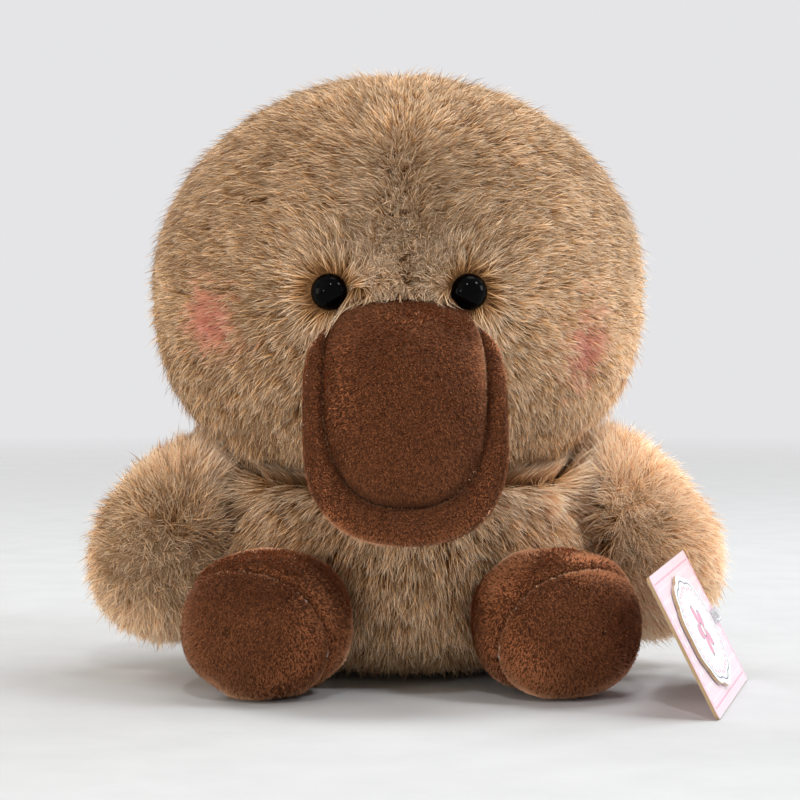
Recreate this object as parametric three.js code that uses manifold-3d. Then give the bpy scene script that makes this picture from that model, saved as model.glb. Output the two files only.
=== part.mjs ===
// A seated plush platypus about 211 mm tall without its free pile, in millimetres, +Z up.
// The front faces -Y and the toy's own left is +X. The origin is the centre
// of the flat seat under the body.
import * as THREE from 'three';
import { mergeVertices } from 'three/addons/utils/BufferGeometryUtils.js';
import Module from 'manifold-3d';

const wasm = await Module();
wasm.setup();

// Clearances.
const SEAM_GAP = 0.3; // left between two pieces that are sewn or seated together
const GROUND_FLAT = 0.5; // how deep a stuffed piece is pressed flat by the ground
const PIVOT_GAP = 0.4; // between the tag and the pin that it turns on

// Fabrics, backing and pressed pile together.
const PLUSH = 5;
const VELBOA = 2;

// Body: a pear that is widest low down.
const BODY_HALF_WIDTH = 67.5;
const BODY_HALF_DEPTH = 60;
const BODY_DOWN = 38.5; // from the widest level to the bottom, before it is pressed flat
const BODY_UP = 60; // from the widest level to where the top would close
const BODY_PLAN = 2;
const BODY_RISE_UP = 2;
const BODY_RISE_DOWN = 2.6;
const NECK_Z = 70; // height of the neck seam
const NECK_RADIUS = 26; // opening in both skins that the stuffing passes through
const BASE_SEAM_Z = 8; // seam between the base panel and the panels above it
const BODY_SIDE_SEAM_Y = 2; // seam between the front panel and the two back panels
const POUCH_HALF_WIDTH = 30;
const POUCH_HALF_DEPTH = 26;
const POUCH_HALF_HEIGHT = 10;
const POUCH_PRESSED = 3; // how much of the pellet pouch's underside lies flat

// Head: a wide ball, fuller below.
const HEAD_HALF_WIDTH = 85.7;
const HEAD_HALF_DEPTH = 75;
const HEAD_UP = 73.3;
const HEAD_DOWN = 70;
const HEAD_FLAT = 3; // how much of the underside is sewn flat at the neck
const HEAD_PLAN = 2;
const HEAD_RISE_UP = 2;
const HEAD_RISE_DOWN = 2.5;
const HEAD_ASIDE = -3; // the head is sewn on this far to the toy's right
const HEAD_SIDE_SEAM_Y = 8; // seam between the face panels and the back panels

// Safety eyes: a glossy bead with a stem, locked by a washer inside the head.
const EYE_RADIUS = 6.2;
const EYE_DOME = 5.4; // height of the bead above its flat back
const EYE_SIDE = 23.6; // sideways from the middle of the two
const EYE_ASIDE = -1.5; // from the face's seam to the middle of the two
const EYE_DROP = 2; // below the head's widest level
const EYE_SUNK = 2; // the bead's back lies this far below the fabric's face
const STEM_RADIUS = 1.9;
const STEM_BEYOND = 2.4; // how far the stem shows past its washer
const WASHER_RADIUS = 7.5;
const WASHER_THICK = 1.6;

// Bill: a domed core with a flat sewn rim around it, sloping down off the face.
const BILL_PITCH = 62; // degrees that the rim's plane leans up from level
const BILL_FORWARD = 18.5; // middle of the bill, in front of the face
const BILL_BELOW_HEAD = 45; // middle of the bill, below the head's widest level
const CORE_HALF_WIDTH = 26.5;
const CORE_HALF_LENGTH = 43;
const CORE_SHIFT = 13; // the core's middle lies this far up the slope
const CORE_UP = 15;
const CORE_DOWN = 9;
const CORE_PLAN = 2.6;
const CORE_RISE = 2.4;
const RIM_HALF_WIDTH = 33;
const RIM_HALF_LENGTH = 46;
const RIM_SHIFT = 4;
const RIM_HALF_THICK = 3.2;
const RIM_PLAN = 2.6;
const RIM_RISE = 3;
const BILL_BEND_FROM = 10; // the bill curls back to the face above this point of its slope
const BILL_BEND = 0.008; // curl, per millimetre squared

// Arms: fat paddles that hang from a round seam on the body's side.
const ARM_HALF_WIDTH = 25.5;
const ARM_HALF_THICK = 19;
const ARM_HALF_LENGTH = 34;
const ARM_TAPER = 0.08; // slimmer at the shoulder, fuller at the hand
const ARM_PLAN = 2.2;
const ARM_RISE = 2.2;
const ARM_TILT = 32; // degrees that an arm hangs out from straight down
const ARM_OUT = 12.5; // middle of the arm, outside the body
const ARM_BELOW_SHOULDER = 6.5;
const SHOULDER_BELOW_NECK = 16;
const SHOULDER_Y = -6;
const SHOULDER_RADIUS = 14;
const SHOULDER_FLARE = 5; // the body's skin swells this much wider at the root of the stub
const SHOULDER_LENGTH = 16;

// Feet: stuffed boots with a round sole panel that faces forward.
const FOOT_HALF_WIDTH = 27.3;
const FOOT_HALF_LENGTH = 28;
const FOOT_HALF_HEIGHT = 24.75;
const FOOT_PLAN = 2.2;
const FOOT_RISE = 2.3;
const FOOT_SPLAY = 28; // degrees that a foot points out from straight ahead
const FOOT_REACH = 22.5; // middle of the foot, in front of its seam on the belly
const FOOT_ASIDE = 12; // middle of the foot, outward along that seam
const FOOT_SEAT_DEPTH = 3.4; // how deep the foot's seam presses the belly flat
const SOLE_SEAM = 6; // seam of the sole panel, in front of the foot's middle
const SOLE_LEAN = 28; // degrees that the sole panel faces down

// Tail: a flat paddle behind, its tip on the ground.
const TAIL_HALF_WIDTH = 29;
const TAIL_HALF_LENGTH = 38;
const TAIL_HALF_THICK = 9.5;
const TAIL_TAPER = 0.3; // thicker at the root, thinner at the tip
const TAIL_PLAN = 2.4;
const TAIL_RISE = 2.2;
const TAIL_SLOPE = 10; // degrees that the tail falls towards its tip
const TAIL_BEHIND = 24; // middle of the tail, behind the body's back
const TAIL_SEAT_LEAN = 20; // degrees that the tail's seam faces down
const TAIL_SEAT_DEPTH = 3;

// Hang tag: a card and a shaped board on it, held by a plastic pin.
const CARD_LENGTH = 93;
const CARD_WIDTH = 50;
const CARD_THICK = 1.1;
const CARD_CORNER = 2;
const BOARD_LENGTH = 60;
const BOARD_WIDTH = 40;
const BOARD_THICK = 1.2;
const BOARD_SCALLOPS = 10;
const BOARD_SCALLOP_DEPTH = 1.2;
const BOARD_FROM_TOP = 20; // from the card's top edge to the board
const TAG_TURN = 14; // degrees that the card points in from straight ahead
const TAG_LEAN = 63; // degrees that the card leans up from lying flat
const TAG_OUT = 50; // the card's lower top corner, outside the shoulder seam
const TAG_AHEAD = 26.5; // and in front of it
const HOLE_RADIUS = 2;
const HOLE_FROM_TOP = 6;
const PIN_RADIUS = 0.6;
const PIN_SIDES = 6;
const PIN_STEPS = 14;
const PADDLE_LENGTH = 9;
const PADDLE_WIDTH = 5;
const PADDLE_THICK = 1;
const BAR_LENGTH = 8;
const BAR_RADIUS = 0.8;
const BAR_DEPTH = 9; // the pin's inner bar lies this deep in the hand

// Facets of the rounded forms.
const FINE = { around: 32, rings: 16 }; // body and head
const MEDIUM = { around: 24, rings: 12 }; // arms, feet, tail and bill
const COARSE = { around: 16, rings: 10 };
const EDGED = { around: 28, rings: 8 };
const LINING = { around: 12, rings: 8 };
const ROUND_SIDES = 20;
const SMALL_SIDES = 12;
const REACH = 500; // size of the blocks that trim a solid, larger than the toy

const UP = new THREE.Vector3(0, 0, 1);
const DOWN = new THREE.Vector3(0, 0, -1);
const LEFT = new THREE.Vector3(1, 0, 0);
const RIGHT = new THREE.Vector3(-1, 0, 0);
const BACK = new THREE.Vector3(0, 1, 0);

const MATERIALS = {
  plush: new THREE.MeshStandardMaterial({ color: 0xb08f68, roughness: 0.95 }),
  velboa: new THREE.MeshStandardMaterial({ color: 0x73452f, roughness: 0.85 }),
  stuffing: new THREE.MeshStandardMaterial({ color: 0xf2f0ea, roughness: 1 }),
  pouch: new THREE.MeshStandardMaterial({ color: 0xd9d6cc, roughness: 0.9 }),
  eye: new THREE.MeshStandardMaterial({ color: 0x060606, roughness: 0.08 }),
  washer: new THREE.MeshStandardMaterial({ color: 0xe6e6e2, roughness: 0.5 }),
  card: new THREE.MeshStandardMaterial({ color: 0xf0dce6, roughness: 0.45 }),
  board: new THREE.MeshStandardMaterial({ color: 0xfafafa, roughness: 0.4 }),
  pin: new THREE.MeshStandardMaterial({ color: 0xe8eef0, roughness: 0.3 }),
};

// Booleans on closed geometries.

function solid(geometry) {
  const bare = geometry.clone();
  bare.deleteAttribute('normal');
  bare.deleteAttribute('uv');
  const merged = mergeVertices(bare, 1e-4);
  return new wasm.Manifold(new wasm.Mesh({
    numProp: 3,
    vertProperties: new Float32Array(merged.attributes.position.array),
    triVerts: new Uint32Array(merged.index.array),
  }));
}

function piece(name, shape, material) {
  const { vertProperties, triVerts } = shape.getMesh();
  const geometry = new THREE.BufferGeometry();
  geometry.setAttribute('position', new THREE.BufferAttribute(vertProperties, 3));
  geometry.setIndex(new THREE.BufferAttribute(triVerts, 1));
  geometry.computeVertexNormals();
  const mesh = new THREE.Mesh(geometry, material);
  mesh.name = name;
  return mesh;
}

// Everything past the plane that stands at a distance along a direction.
function beyond(direction, distance) {
  const block = new THREE.BoxGeometry(2 * REACH, 2 * REACH, REACH);
  block.translate(0, 0, REACH / 2 + distance);
  block.applyQuaternion(new THREE.Quaternion().setFromUnitVectors(UP, direction));
  return solid(block);
}

function trimmed(shape, cuts) {
  return cuts.reduce((rest, [direction, distance]) => rest.subtract(beyond(direction, distance)), shape);
}

// Both sides of a seam, half the seam gap back from it.
function split(shape, direction, distance) {
  const opposite = direction.clone().negate();
  return {
    over: shape.subtract(beyond(opposite, -distance - SEAM_GAP / 2)),
    under: shape.subtract(beyond(direction, distance - SEAM_GAP / 2)),
  };
}

// A stuffed form: a ball drawn out to its half sizes. A power of 2 gives an
// ellipsoid, and a higher one fuller shoulders.
function stuffed(size, inset, facets, bend = () => {}) {
  const ball = new THREE.SphereGeometry(1, facets.around, facets.rings).rotateX(Math.PI / 2);
  const at = ball.attributes.position;
  const p = new THREE.Vector3();
  for (let i = 0; i < at.count; i += 1) {
    p.fromBufferAttribute(at, i);
    const rise = p.z > 0 ? size.riseUp : size.riseDown;
    const flat = (Math.abs(p.x) ** size.plan + Math.abs(p.y) ** size.plan) ** (1 / size.plan);
    const stretch = (flat ** rise + Math.abs(p.z) ** rise) ** (-1 / rise);
    const tall = p.z > 0 ? size.up : size.down;
    p.set(p.x * (size.x - inset), p.y * (size.y - inset), p.z * (tall - inset));
    p.multiplyScalar(stretch);
    bend(p);
    at.setXYZ(i, p.x, p.y, p.z);
  }
  return ball;
}

// A cylinder along a direction, centred on the origin.
function rod(radius, length, direction, sides, endRadius = radius) {
  const geometry = new THREE.CylinderGeometry(endRadius, radius, length, sides);
  geometry.applyQuaternion(new THREE.Quaternion().setFromUnitVectors(BACK, direction));
  return geometry;
}

// Where a flat seam meets the rounded body: its direction and distance.

const WAIST_Z = BODY_DOWN - GROUND_FLAT;
const BODY = {
  x: BODY_HALF_WIDTH, y: BODY_HALF_DEPTH, up: BODY_UP, down: BODY_DOWN,
  plan: BODY_PLAN, riseUp: BODY_RISE_UP, riseDown: BODY_RISE_DOWN,
};

function footSeat(side) {
  const splay = THREE.MathUtils.degToRad(FOOT_SPLAY);
  const direction = new THREE.Vector3(side * Math.sin(splay), -Math.cos(splay), 0);
  const bulge = Math.hypot(BODY_HALF_WIDTH * direction.x, BODY_HALF_DEPTH * direction.y);
  return { direction, distance: bulge - FOOT_SEAT_DEPTH };
}

function tailSeat() {
  const lean = THREE.MathUtils.degToRad(TAIL_SEAT_LEAN);
  const direction = new THREE.Vector3(0, Math.cos(lean), -Math.sin(lean));
  const q = BODY_RISE_DOWN / (BODY_RISE_DOWN - 1);
  const bulge = ((BODY_HALF_DEPTH * direction.y) ** q + (BODY_DOWN * -direction.z) ** q) ** (1 / q);
  return { direction, distance: bulge + direction.z * WAIST_Z - TAIL_SEAT_DEPTH };
}

const SHOULDER_Z = NECK_Z - SHOULDER_BELOW_NECK;
const HEAD_Z = NECK_Z + SEAM_GAP + HEAD_DOWN - HEAD_FLAT;

// The body's outer form, or the same form drawn in by an inset.
function bodyForm(inset, facets) {
  const form = solid(stuffed(BODY, inset, facets).translate(0, 0, WAIST_Z));
  const seats = [footSeat(1), footSeat(-1), tailSeat()];
  return trimmed(form, [
    ...seats.map(({ direction, distance }) => [direction, distance - inset]),
    [UP, NECK_Z - inset],
    [DOWN, -inset],
  ]);
}

function shoulderStub(side) {
  const stub = rod(SHOULDER_RADIUS + SHOULDER_FLARE, SHOULDER_LENGTH,
    side > 0 ? LEFT : RIGHT, ROUND_SIDES, SHOULDER_RADIUS);
  return solid(stub.translate(side * (BODY_HALF_WIDTH - SHOULDER_LENGTH / 2), SHOULDER_Y, SHOULDER_Z));
}

function neckPlug(radius, from, to, aside = 0) {
  return solid(rod(radius, to - from, UP, ROUND_SIDES).translate(aside, 0, (from + to) / 2));
}

function pouchForm(grown) {
  const floor = PLUSH + SEAM_GAP;
  const size = {
    x: POUCH_HALF_WIDTH, y: POUCH_HALF_DEPTH, up: POUCH_HALF_HEIGHT, down: POUCH_HALF_HEIGHT,
    plan: 2.2, riseUp: 2.2, riseDown: 2.2,
  };
  return solid(stuffed(size, -grown, COARSE).translate(0, 0, floor + POUCH_HALF_HEIGHT - POUCH_PRESSED));
}

function body() {
  const group = new THREE.Group();
  const inner = bodyForm(PLUSH, COARSE);
  const neck = neckPlug(NECK_RADIUS, WAIST_Z, NECK_Z + PLUSH, HEAD_ASIDE);
  const outer = bodyForm(0, FINE).add(shoulderStub(1)).add(shoulderStub(-1));
  const skin = trimmed(outer, [[UP, NECK_Z]]).subtract(inner).subtract(neck);
  const { over: upper, under: base } = split(skin, UP, BASE_SEAM_Z);
  const { over: back, under: front } = split(upper, BACK, BODY_SIDE_SEAM_Y);
  const { over: backLeft, under: backRight } = split(back, LEFT, 0);
  const stuffing = bodyForm(PLUSH + SEAM_GAP, COARSE)
    .add(neckPlug(NECK_RADIUS - SEAM_GAP, WAIST_Z, NECK_Z, HEAD_ASIDE))
    .subtract(pouchForm(SEAM_GAP));
  const pouch = pouchForm(0).intersect(bodyForm(PLUSH + SEAM_GAP, COARSE));
  group.add(
    piece('body_front', front, MATERIALS.plush),
    piece('body_back_left', backLeft, MATERIALS.plush),
    piece('body_back_right', backRight, MATERIALS.plush),
    piece('body_base', base, MATERIALS.plush),
    piece('body_fill', stuffing, MATERIALS.stuffing),
    piece('pellet_pouch', pouch, MATERIALS.pouch),
  );
  return group;
}

// Head. Its own frame has its origin at the middle of its widest level.

const HEAD = {
  x: HEAD_HALF_WIDTH, y: HEAD_HALF_DEPTH, up: HEAD_UP, down: HEAD_DOWN,
  plan: HEAD_PLAN, riseUp: HEAD_RISE_UP, riseDown: HEAD_RISE_DOWN,
};
const HEAD_BOTTOM = HEAD_DOWN - HEAD_FLAT;

function headForm(inset, facets) {
  return trimmed(solid(stuffed(HEAD, inset, facets)), [[DOWN, HEAD_BOTTOM - inset]]);
}

// The place of an eye on the face, its +Z out of the face.
function eyeFrame(side) {
  const drop = EYE_DROP / HEAD_DOWN;
  const level = (1 - drop ** HEAD_RISE_DOWN) ** (1 / HEAD_RISE_DOWN);
  const x = side * EYE_SIDE + EYE_ASIDE;
  const y = -HEAD_HALF_DEPTH * Math.sqrt(level ** 2 - (x / HEAD_HALF_WIDTH) ** 2);
  const out = new THREE.Vector3(x / HEAD_HALF_WIDTH ** 2, y / HEAD_HALF_DEPTH ** 2, 0).normalize();
  const turn = new THREE.Quaternion().setFromUnitVectors(UP, out);
  return new THREE.Matrix4().compose(new THREE.Vector3(x, y, -EYE_DROP), turn, new THREE.Vector3(1, 1, 1));
}

// Eye parts are turned about +Z, with the face of the fabric at height 0.

const WASHER_TOP = -PLUSH;
const STEM_END = WASHER_TOP - WASHER_THICK - STEM_BEYOND;

function turned(points, sides) {
  const profile = points.map(([r, z]) => new THREE.Vector2(r, z));
  return new THREE.LatheGeometry(profile, sides).rotateX(Math.PI / 2);
}

function eyeBead() {
  const arc = [];
  const steps = 6;
  for (let i = 0; i <= steps; i += 1) {
    const a = (i / steps) * (Math.PI / 2);
    arc.push([EYE_RADIUS * Math.cos(a), -EYE_SUNK + EYE_DOME * Math.sin(a)]);
  }
  arc[steps][0] = 0;
  return turned([[0, STEM_END], [STEM_RADIUS, STEM_END], [STEM_RADIUS, -EYE_SUNK], ...arc], ROUND_SIDES);
}

// The hole in the face: the bead sinks in on one side, and the washer presses
// the curved fabric flat on the other.
function eyeSocket() {
  const wide = EYE_RADIUS + SEAM_GAP;
  const hole = STEM_RADIUS + SEAM_GAP;
  const pressed = WASHER_RADIUS + SEAM_GAP;
  const bottom = -EYE_SUNK - SEAM_GAP;
  const seat = WASHER_TOP + SEAM_GAP;
  return turned([[0, STEM_END], [pressed, STEM_END], [pressed, seat], [hole, seat],
    [hole, bottom], [wide, bottom], [wide, EYE_DOME], [0, EYE_DOME]], ROUND_SIDES);
}

function washerPocket() {
  const wide = WASHER_RADIUS + SEAM_GAP;
  return turned([[0, STEM_END - SEAM_GAP], [wide, STEM_END - SEAM_GAP], [wide, 0], [0, 0]], SMALL_SIDES);
}

function washer() {
  const hole = STEM_RADIUS + SEAM_GAP;
  const low = WASHER_TOP - WASHER_THICK;
  return turned([[hole, low], [WASHER_RADIUS, low], [WASHER_RADIUS, WASHER_TOP],
    [hole, WASHER_TOP], [hole, low]], SMALL_SIDES);
}

function placed(geometry, frame) {
  return solid(geometry.applyMatrix4(frame));
}

function head() {
  const group = new THREE.Group();
  group.position.set(HEAD_ASIDE, 0, HEAD_Z);
  const frames = { left: eyeFrame(1), right: eyeFrame(-1) };
  const neck = neckPlug(NECK_RADIUS, -HEAD_BOTTOM - PLUSH, 0);
  const skin = headForm(0, FINE).subtract(headForm(PLUSH, COARSE)).subtract(neck);
  const { over: back, under: face } = split(skin, BACK, HEAD_SIDE_SEAM_Y);
  const { over: backLeft, under: backRight } = split(back, LEFT, 0);
  const { over: faceLeft, under: faceRight } = split(face, LEFT, 0);
  const stuffing = headForm(PLUSH + SEAM_GAP, COARSE)
    .add(neckPlug(NECK_RADIUS - SEAM_GAP, -HEAD_BOTTOM, 0))
    .subtract(placed(washerPocket(), frames.left))
    .subtract(placed(washerPocket(), frames.right));
  group.add(
    piece('head_front_left', faceLeft.subtract(placed(eyeSocket(), frames.left)), MATERIALS.plush),
    piece('head_front_right', faceRight.subtract(placed(eyeSocket(), frames.right)), MATERIALS.plush),
    piece('head_back_left', backLeft, MATERIALS.plush),
    piece('head_back_right', backRight, MATERIALS.plush),
    piece('head_fill', stuffing, MATERIALS.stuffing),
  );
  for (const [name, frame] of Object.entries(frames)) {
    const socket = new THREE.Group();
    socket.applyMatrix4(frame);
    socket.add(
      piece(`eye_${name}`, solid(eyeBead()), MATERIALS.eye),
      piece(`eye_washer_${name}`, solid(washer()), MATERIALS.washer),
    );
    group.add(socket);
  }
  group.add(bill());
  return group;
}

// Bill. Its own frame has +Y up its slope and +Z out of its upper face.

function billBend(p) {
  const past = Math.max(0, p.y - BILL_BEND_FROM);
  p.z -= BILL_BEND * past * past;
}

function coreForm(inset, facets) {
  const size = {
    x: CORE_HALF_WIDTH, y: CORE_HALF_LENGTH, up: CORE_UP, down: CORE_DOWN,
    plan: CORE_PLAN, riseUp: CORE_RISE, riseDown: CORE_RISE,
  };
  return stuffed(size, inset, facets, (p) => {
    p.y += CORE_SHIFT;
    billBend(p);
  });
}

function rimForm() {
  const size = {
    x: RIM_HALF_WIDTH, y: RIM_HALF_LENGTH, up: RIM_HALF_THICK, down: RIM_HALF_THICK,
    plan: RIM_PLAN, riseUp: RIM_RISE, riseDown: RIM_RISE,
  };
  return stuffed(size, 0, EDGED, (p) => {
    p.y += RIM_SHIFT;
    billBend(p);
  });
}

// The sheet between the upper and lower bill: it follows the bill's curl.
function billSheet() {
  const steps = 8;
  const length = RIM_HALF_LENGTH * 2;
  const sheet = new THREE.BoxGeometry(REACH, length * 2, REACH, 1, steps * 2, 1);
  sheet.translate(0, RIM_SHIFT, -REACH / 2);
  const at = sheet.attributes.position;
  const p = new THREE.Vector3();
  for (let i = 0; i < at.count; i += 1) {
    p.fromBufferAttribute(at, i);
    billBend(p);
    at.setXYZ(i, p.x, p.y, p.z);
  }
  return sheet;
}

function bill() {
  const group = new THREE.Group();
  group.position.set(0, -HEAD_HALF_DEPTH - BILL_FORWARD, -BILL_BELOW_HEAD);
  group.rotation.x = THREE.MathUtils.degToRad(BILL_PITCH);
  group.updateMatrix();
  const facePlace = group.matrix.clone().invert();
  const face = solid(stuffed(HEAD, -SEAM_GAP, FINE).applyMatrix4(facePlace));
  const skin = solid(coreForm(0, MEDIUM)).subtract(solid(coreForm(VELBOA, COARSE))).subtract(face);
  const below = solid(billSheet().translate(0, 0, SEAM_GAP / 2));
  const above = solid(billSheet().translate(0, 0, -SEAM_GAP / 2));
  group.add(
    piece('bill_top', skin.subtract(below), MATERIALS.velboa),
    piece('bill_under', skin.intersect(above), MATERIALS.velboa),
    piece('bill_rim', solid(rimForm()).subtract(solid(coreForm(-SEAM_GAP, MEDIUM))).subtract(face), MATERIALS.velboa),
    piece('bill_fill', solid(coreForm(VELBOA + SEAM_GAP, COARSE)).subtract(face), MATERIALS.stuffing),
  );
  return group;
}

// Arms. Each has its origin in the middle of its shoulder seam.

function armForm(side, inset, facets) {
  const size = {
    x: ARM_HALF_WIDTH, y: ARM_HALF_THICK, up: ARM_HALF_LENGTH, down: ARM_HALF_LENGTH,
    plan: ARM_PLAN, riseUp: ARM_RISE, riseDown: ARM_RISE,
  };
  const form = stuffed(size, inset, facets, (p) => {
    const fuller = 1 - ARM_TAPER * (p.z / ARM_HALF_LENGTH);
    p.x *= fuller;
    p.y *= fuller;
  });
  form.rotateY(-side * THREE.MathUtils.degToRad(ARM_TILT));
  form.translate(side * ARM_OUT, 0, -ARM_BELOW_SHOULDER);
  return trimmed(solid(form), [[side > 0 ? RIGHT : LEFT, -SEAM_GAP - inset]]);
}

function arm(side, name, pinCut) {
  const group = new THREE.Group();
  group.position.set(side * BODY_HALF_WIDTH, SHOULDER_Y, SHOULDER_Z);
  const skin = armForm(side, 0, MEDIUM).subtract(armForm(side, PLUSH, LINING));
  const { over: back, under: front } = split(skin, BACK, 0);
  const stuffing = armForm(side, PLUSH + SEAM_GAP, LINING);
  const cut = (shape) => (pinCut ? shape.subtract(pinCut) : shape);
  group.add(
    piece(`arm_${name}_front`, cut(front), MATERIALS.plush),
    piece(`arm_${name}_back`, cut(back), MATERIALS.plush),
    piece(`arm_${name}_fill`, cut(stuffing), MATERIALS.stuffing),
  );
  return group;
}

// Feet. Each has its origin at its middle, and points along its own -Y.

function footForm(inset, facets) {
  const size = {
    x: FOOT_HALF_WIDTH, y: FOOT_HALF_LENGTH, up: FOOT_HALF_HEIGHT, down: FOOT_HALF_HEIGHT,
    plan: FOOT_PLAN, riseUp: FOOT_RISE, riseDown: FOOT_RISE,
  };
  return trimmed(solid(stuffed(size, inset, facets)), [
    [BACK, FOOT_REACH - SEAM_GAP - inset],
    [DOWN, FOOT_HALF_HEIGHT - GROUND_FLAT - inset],
  ]);
}

function foot(side, name) {
  const group = new THREE.Group();
  const { direction, distance } = footSeat(side);
  group.position.copy(direction).multiplyScalar(distance + FOOT_REACH);
  group.position.x -= side * direction.y * FOOT_ASIDE;
  group.position.y += side * direction.x * FOOT_ASIDE;
  group.position.z = FOOT_HALF_HEIGHT - GROUND_FLAT;
  group.rotation.z = side * THREE.MathUtils.degToRad(FOOT_SPLAY);
  const skin = footForm(0, MEDIUM).subtract(footForm(VELBOA, LINING));
  const lean = THREE.MathUtils.degToRad(SOLE_LEAN);
  const facing = new THREE.Vector3(0, -Math.cos(lean), -Math.sin(lean));
  const { over: sole, under: upper } = split(skin, facing, SOLE_SEAM * Math.cos(lean));
  group.add(
    piece(`foot_${name}_sole`, sole, MATERIALS.velboa),
    piece(`foot_${name}_upper`, upper, MATERIALS.velboa),
    piece(`foot_${name}_fill`, footForm(VELBOA + SEAM_GAP, LINING), MATERIALS.stuffing),
  );
  return group;
}

// Tail.

function tail() {
  const group = new THREE.Group();
  const slope = THREE.MathUtils.degToRad(TAIL_SLOPE);
  const seat = tailSeat();
  const size = {
    x: TAIL_HALF_WIDTH, y: TAIL_HALF_LENGTH, up: TAIL_HALF_THICK, down: TAIL_HALF_THICK,
    plan: TAIL_PLAN, riseUp: TAIL_RISE, riseDown: TAIL_RISE,
  };
  const sloped = (inset, facets) => stuffed(size, inset, facets, (p) => {
    p.z *= 1 - TAIL_TAPER * (p.y / TAIL_HALF_LENGTH);
  }).rotateX(-slope);
  const outline = sloped(0, MEDIUM);
  outline.computeBoundingBox();
  const z = -outline.boundingBox.min.z - GROUND_FLAT;
  const y = BODY_HALF_DEPTH + TAIL_BEHIND;
  const form = (inset, facets) => trimmed(solid(sloped(inset, facets).translate(0, y, z)), [
    [seat.direction.clone().negate(), -seat.distance - SEAM_GAP - inset],
    [DOWN, -inset],
  ]);
  const skin = form(0, MEDIUM).subtract(form(VELBOA, LINING));
  const across = new THREE.Vector3(0, Math.sin(slope), Math.cos(slope));
  const { over: top, under } = split(skin, across, across.y * y + across.z * z);
  group.add(
    piece('tail_top', top, MATERIALS.velboa),
    piece('tail_under', under, MATERIALS.velboa),
    piece('tail_fill', form(VELBOA + SEAM_GAP, LINING), MATERIALS.stuffing),
  );
  return group;
}

// Hang tag. Its own frame has its origin in the middle of the hole, +X away
// from the hole along the card's length, +Y down across its width and +Z out
// of its printed face. The card stands on one long edge and leans on the hand.

const TAG_SEAT = CARD_THICK / 2 + PIVOT_GAP;

function tagFrame() {
  const turn = THREE.MathUtils.degToRad(TAG_TURN);
  const lean = THREE.MathUtils.degToRad(TAG_LEAN);
  const along = new THREE.Vector3(-Math.sin(turn), -Math.cos(turn), 0);
  const inward = new THREE.Vector3(along.y, -along.x, 0);
  const rising = inward.multiplyScalar(Math.cos(lean)).addScaledVector(UP, Math.sin(lean));
  const falling = rising.clone().negate();
  const out = new THREE.Vector3().crossVectors(along, falling);
  const basis = new THREE.Matrix4().makeBasis(along, falling, out);
  const corner = new THREE.Vector3(BODY_HALF_WIDTH + TAG_OUT, SHOULDER_Y - TAG_AHEAD, 0);
  corner.z = CARD_THICK / 2 * Math.cos(lean);
  const origin = corner.addScaledVector(along, HOLE_FROM_TOP).addScaledVector(rising, CARD_WIDTH / 2);
  return basis.setPosition(origin);
}

function extruded(shape, thick) {
  const geometry = new THREE.ExtrudeGeometry(shape, { depth: thick, bevelEnabled: false, curveSegments: 3 });
  return geometry.translate(0, 0, -thick / 2);
}

function cardShape() {
  const x0 = -HOLE_FROM_TOP;
  const x1 = CARD_LENGTH - HOLE_FROM_TOP;
  const y = CARD_WIDTH / 2;
  const r = CARD_CORNER;
  const shape = new THREE.Shape();
  shape.moveTo(x0 + r, -y);
  shape.lineTo(x1 - r, -y);
  shape.absarc(x1 - r, -y + r, r, -Math.PI / 2, 0, false);
  shape.absarc(x1 - r, y - r, r, 0, Math.PI / 2, false);
  shape.absarc(x0 + r, y - r, r, Math.PI / 2, Math.PI, false);
  shape.absarc(x0 + r, -y + r, r, Math.PI, Math.PI * 1.5, false);
  const hole = new THREE.Path();
  for (let i = 0; i < SMALL_SIDES; i += 1) {
    const a = (-i / SMALL_SIDES) * Math.PI * 2;
    const at = [HOLE_RADIUS * Math.cos(a), HOLE_RADIUS * Math.sin(a)];
    if (i === 0) hole.moveTo(...at);
    else hole.lineTo(...at);
  }
  shape.holes.push(hole);
  return shape;
}

function boardShape() {
  const middle = BOARD_FROM_TOP - HOLE_FROM_TOP + BOARD_LENGTH / 2;
  const steps = BOARD_SCALLOPS * 4;
  const points = [];
  for (let i = 0; i < steps; i += 1) {
    const a = (i / steps) * Math.PI * 2;
    const dip = BOARD_SCALLOP_DEPTH * (1 - Math.abs(Math.sin((a * BOARD_SCALLOPS) / 2)));
    points.push(new THREE.Vector2(
      middle + (BOARD_LENGTH / 2 - dip) * Math.cos(a),
      (BOARD_WIDTH / 2 - dip) * Math.sin(a),
    ));
  }
  return new THREE.Shape(points);
}

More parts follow.
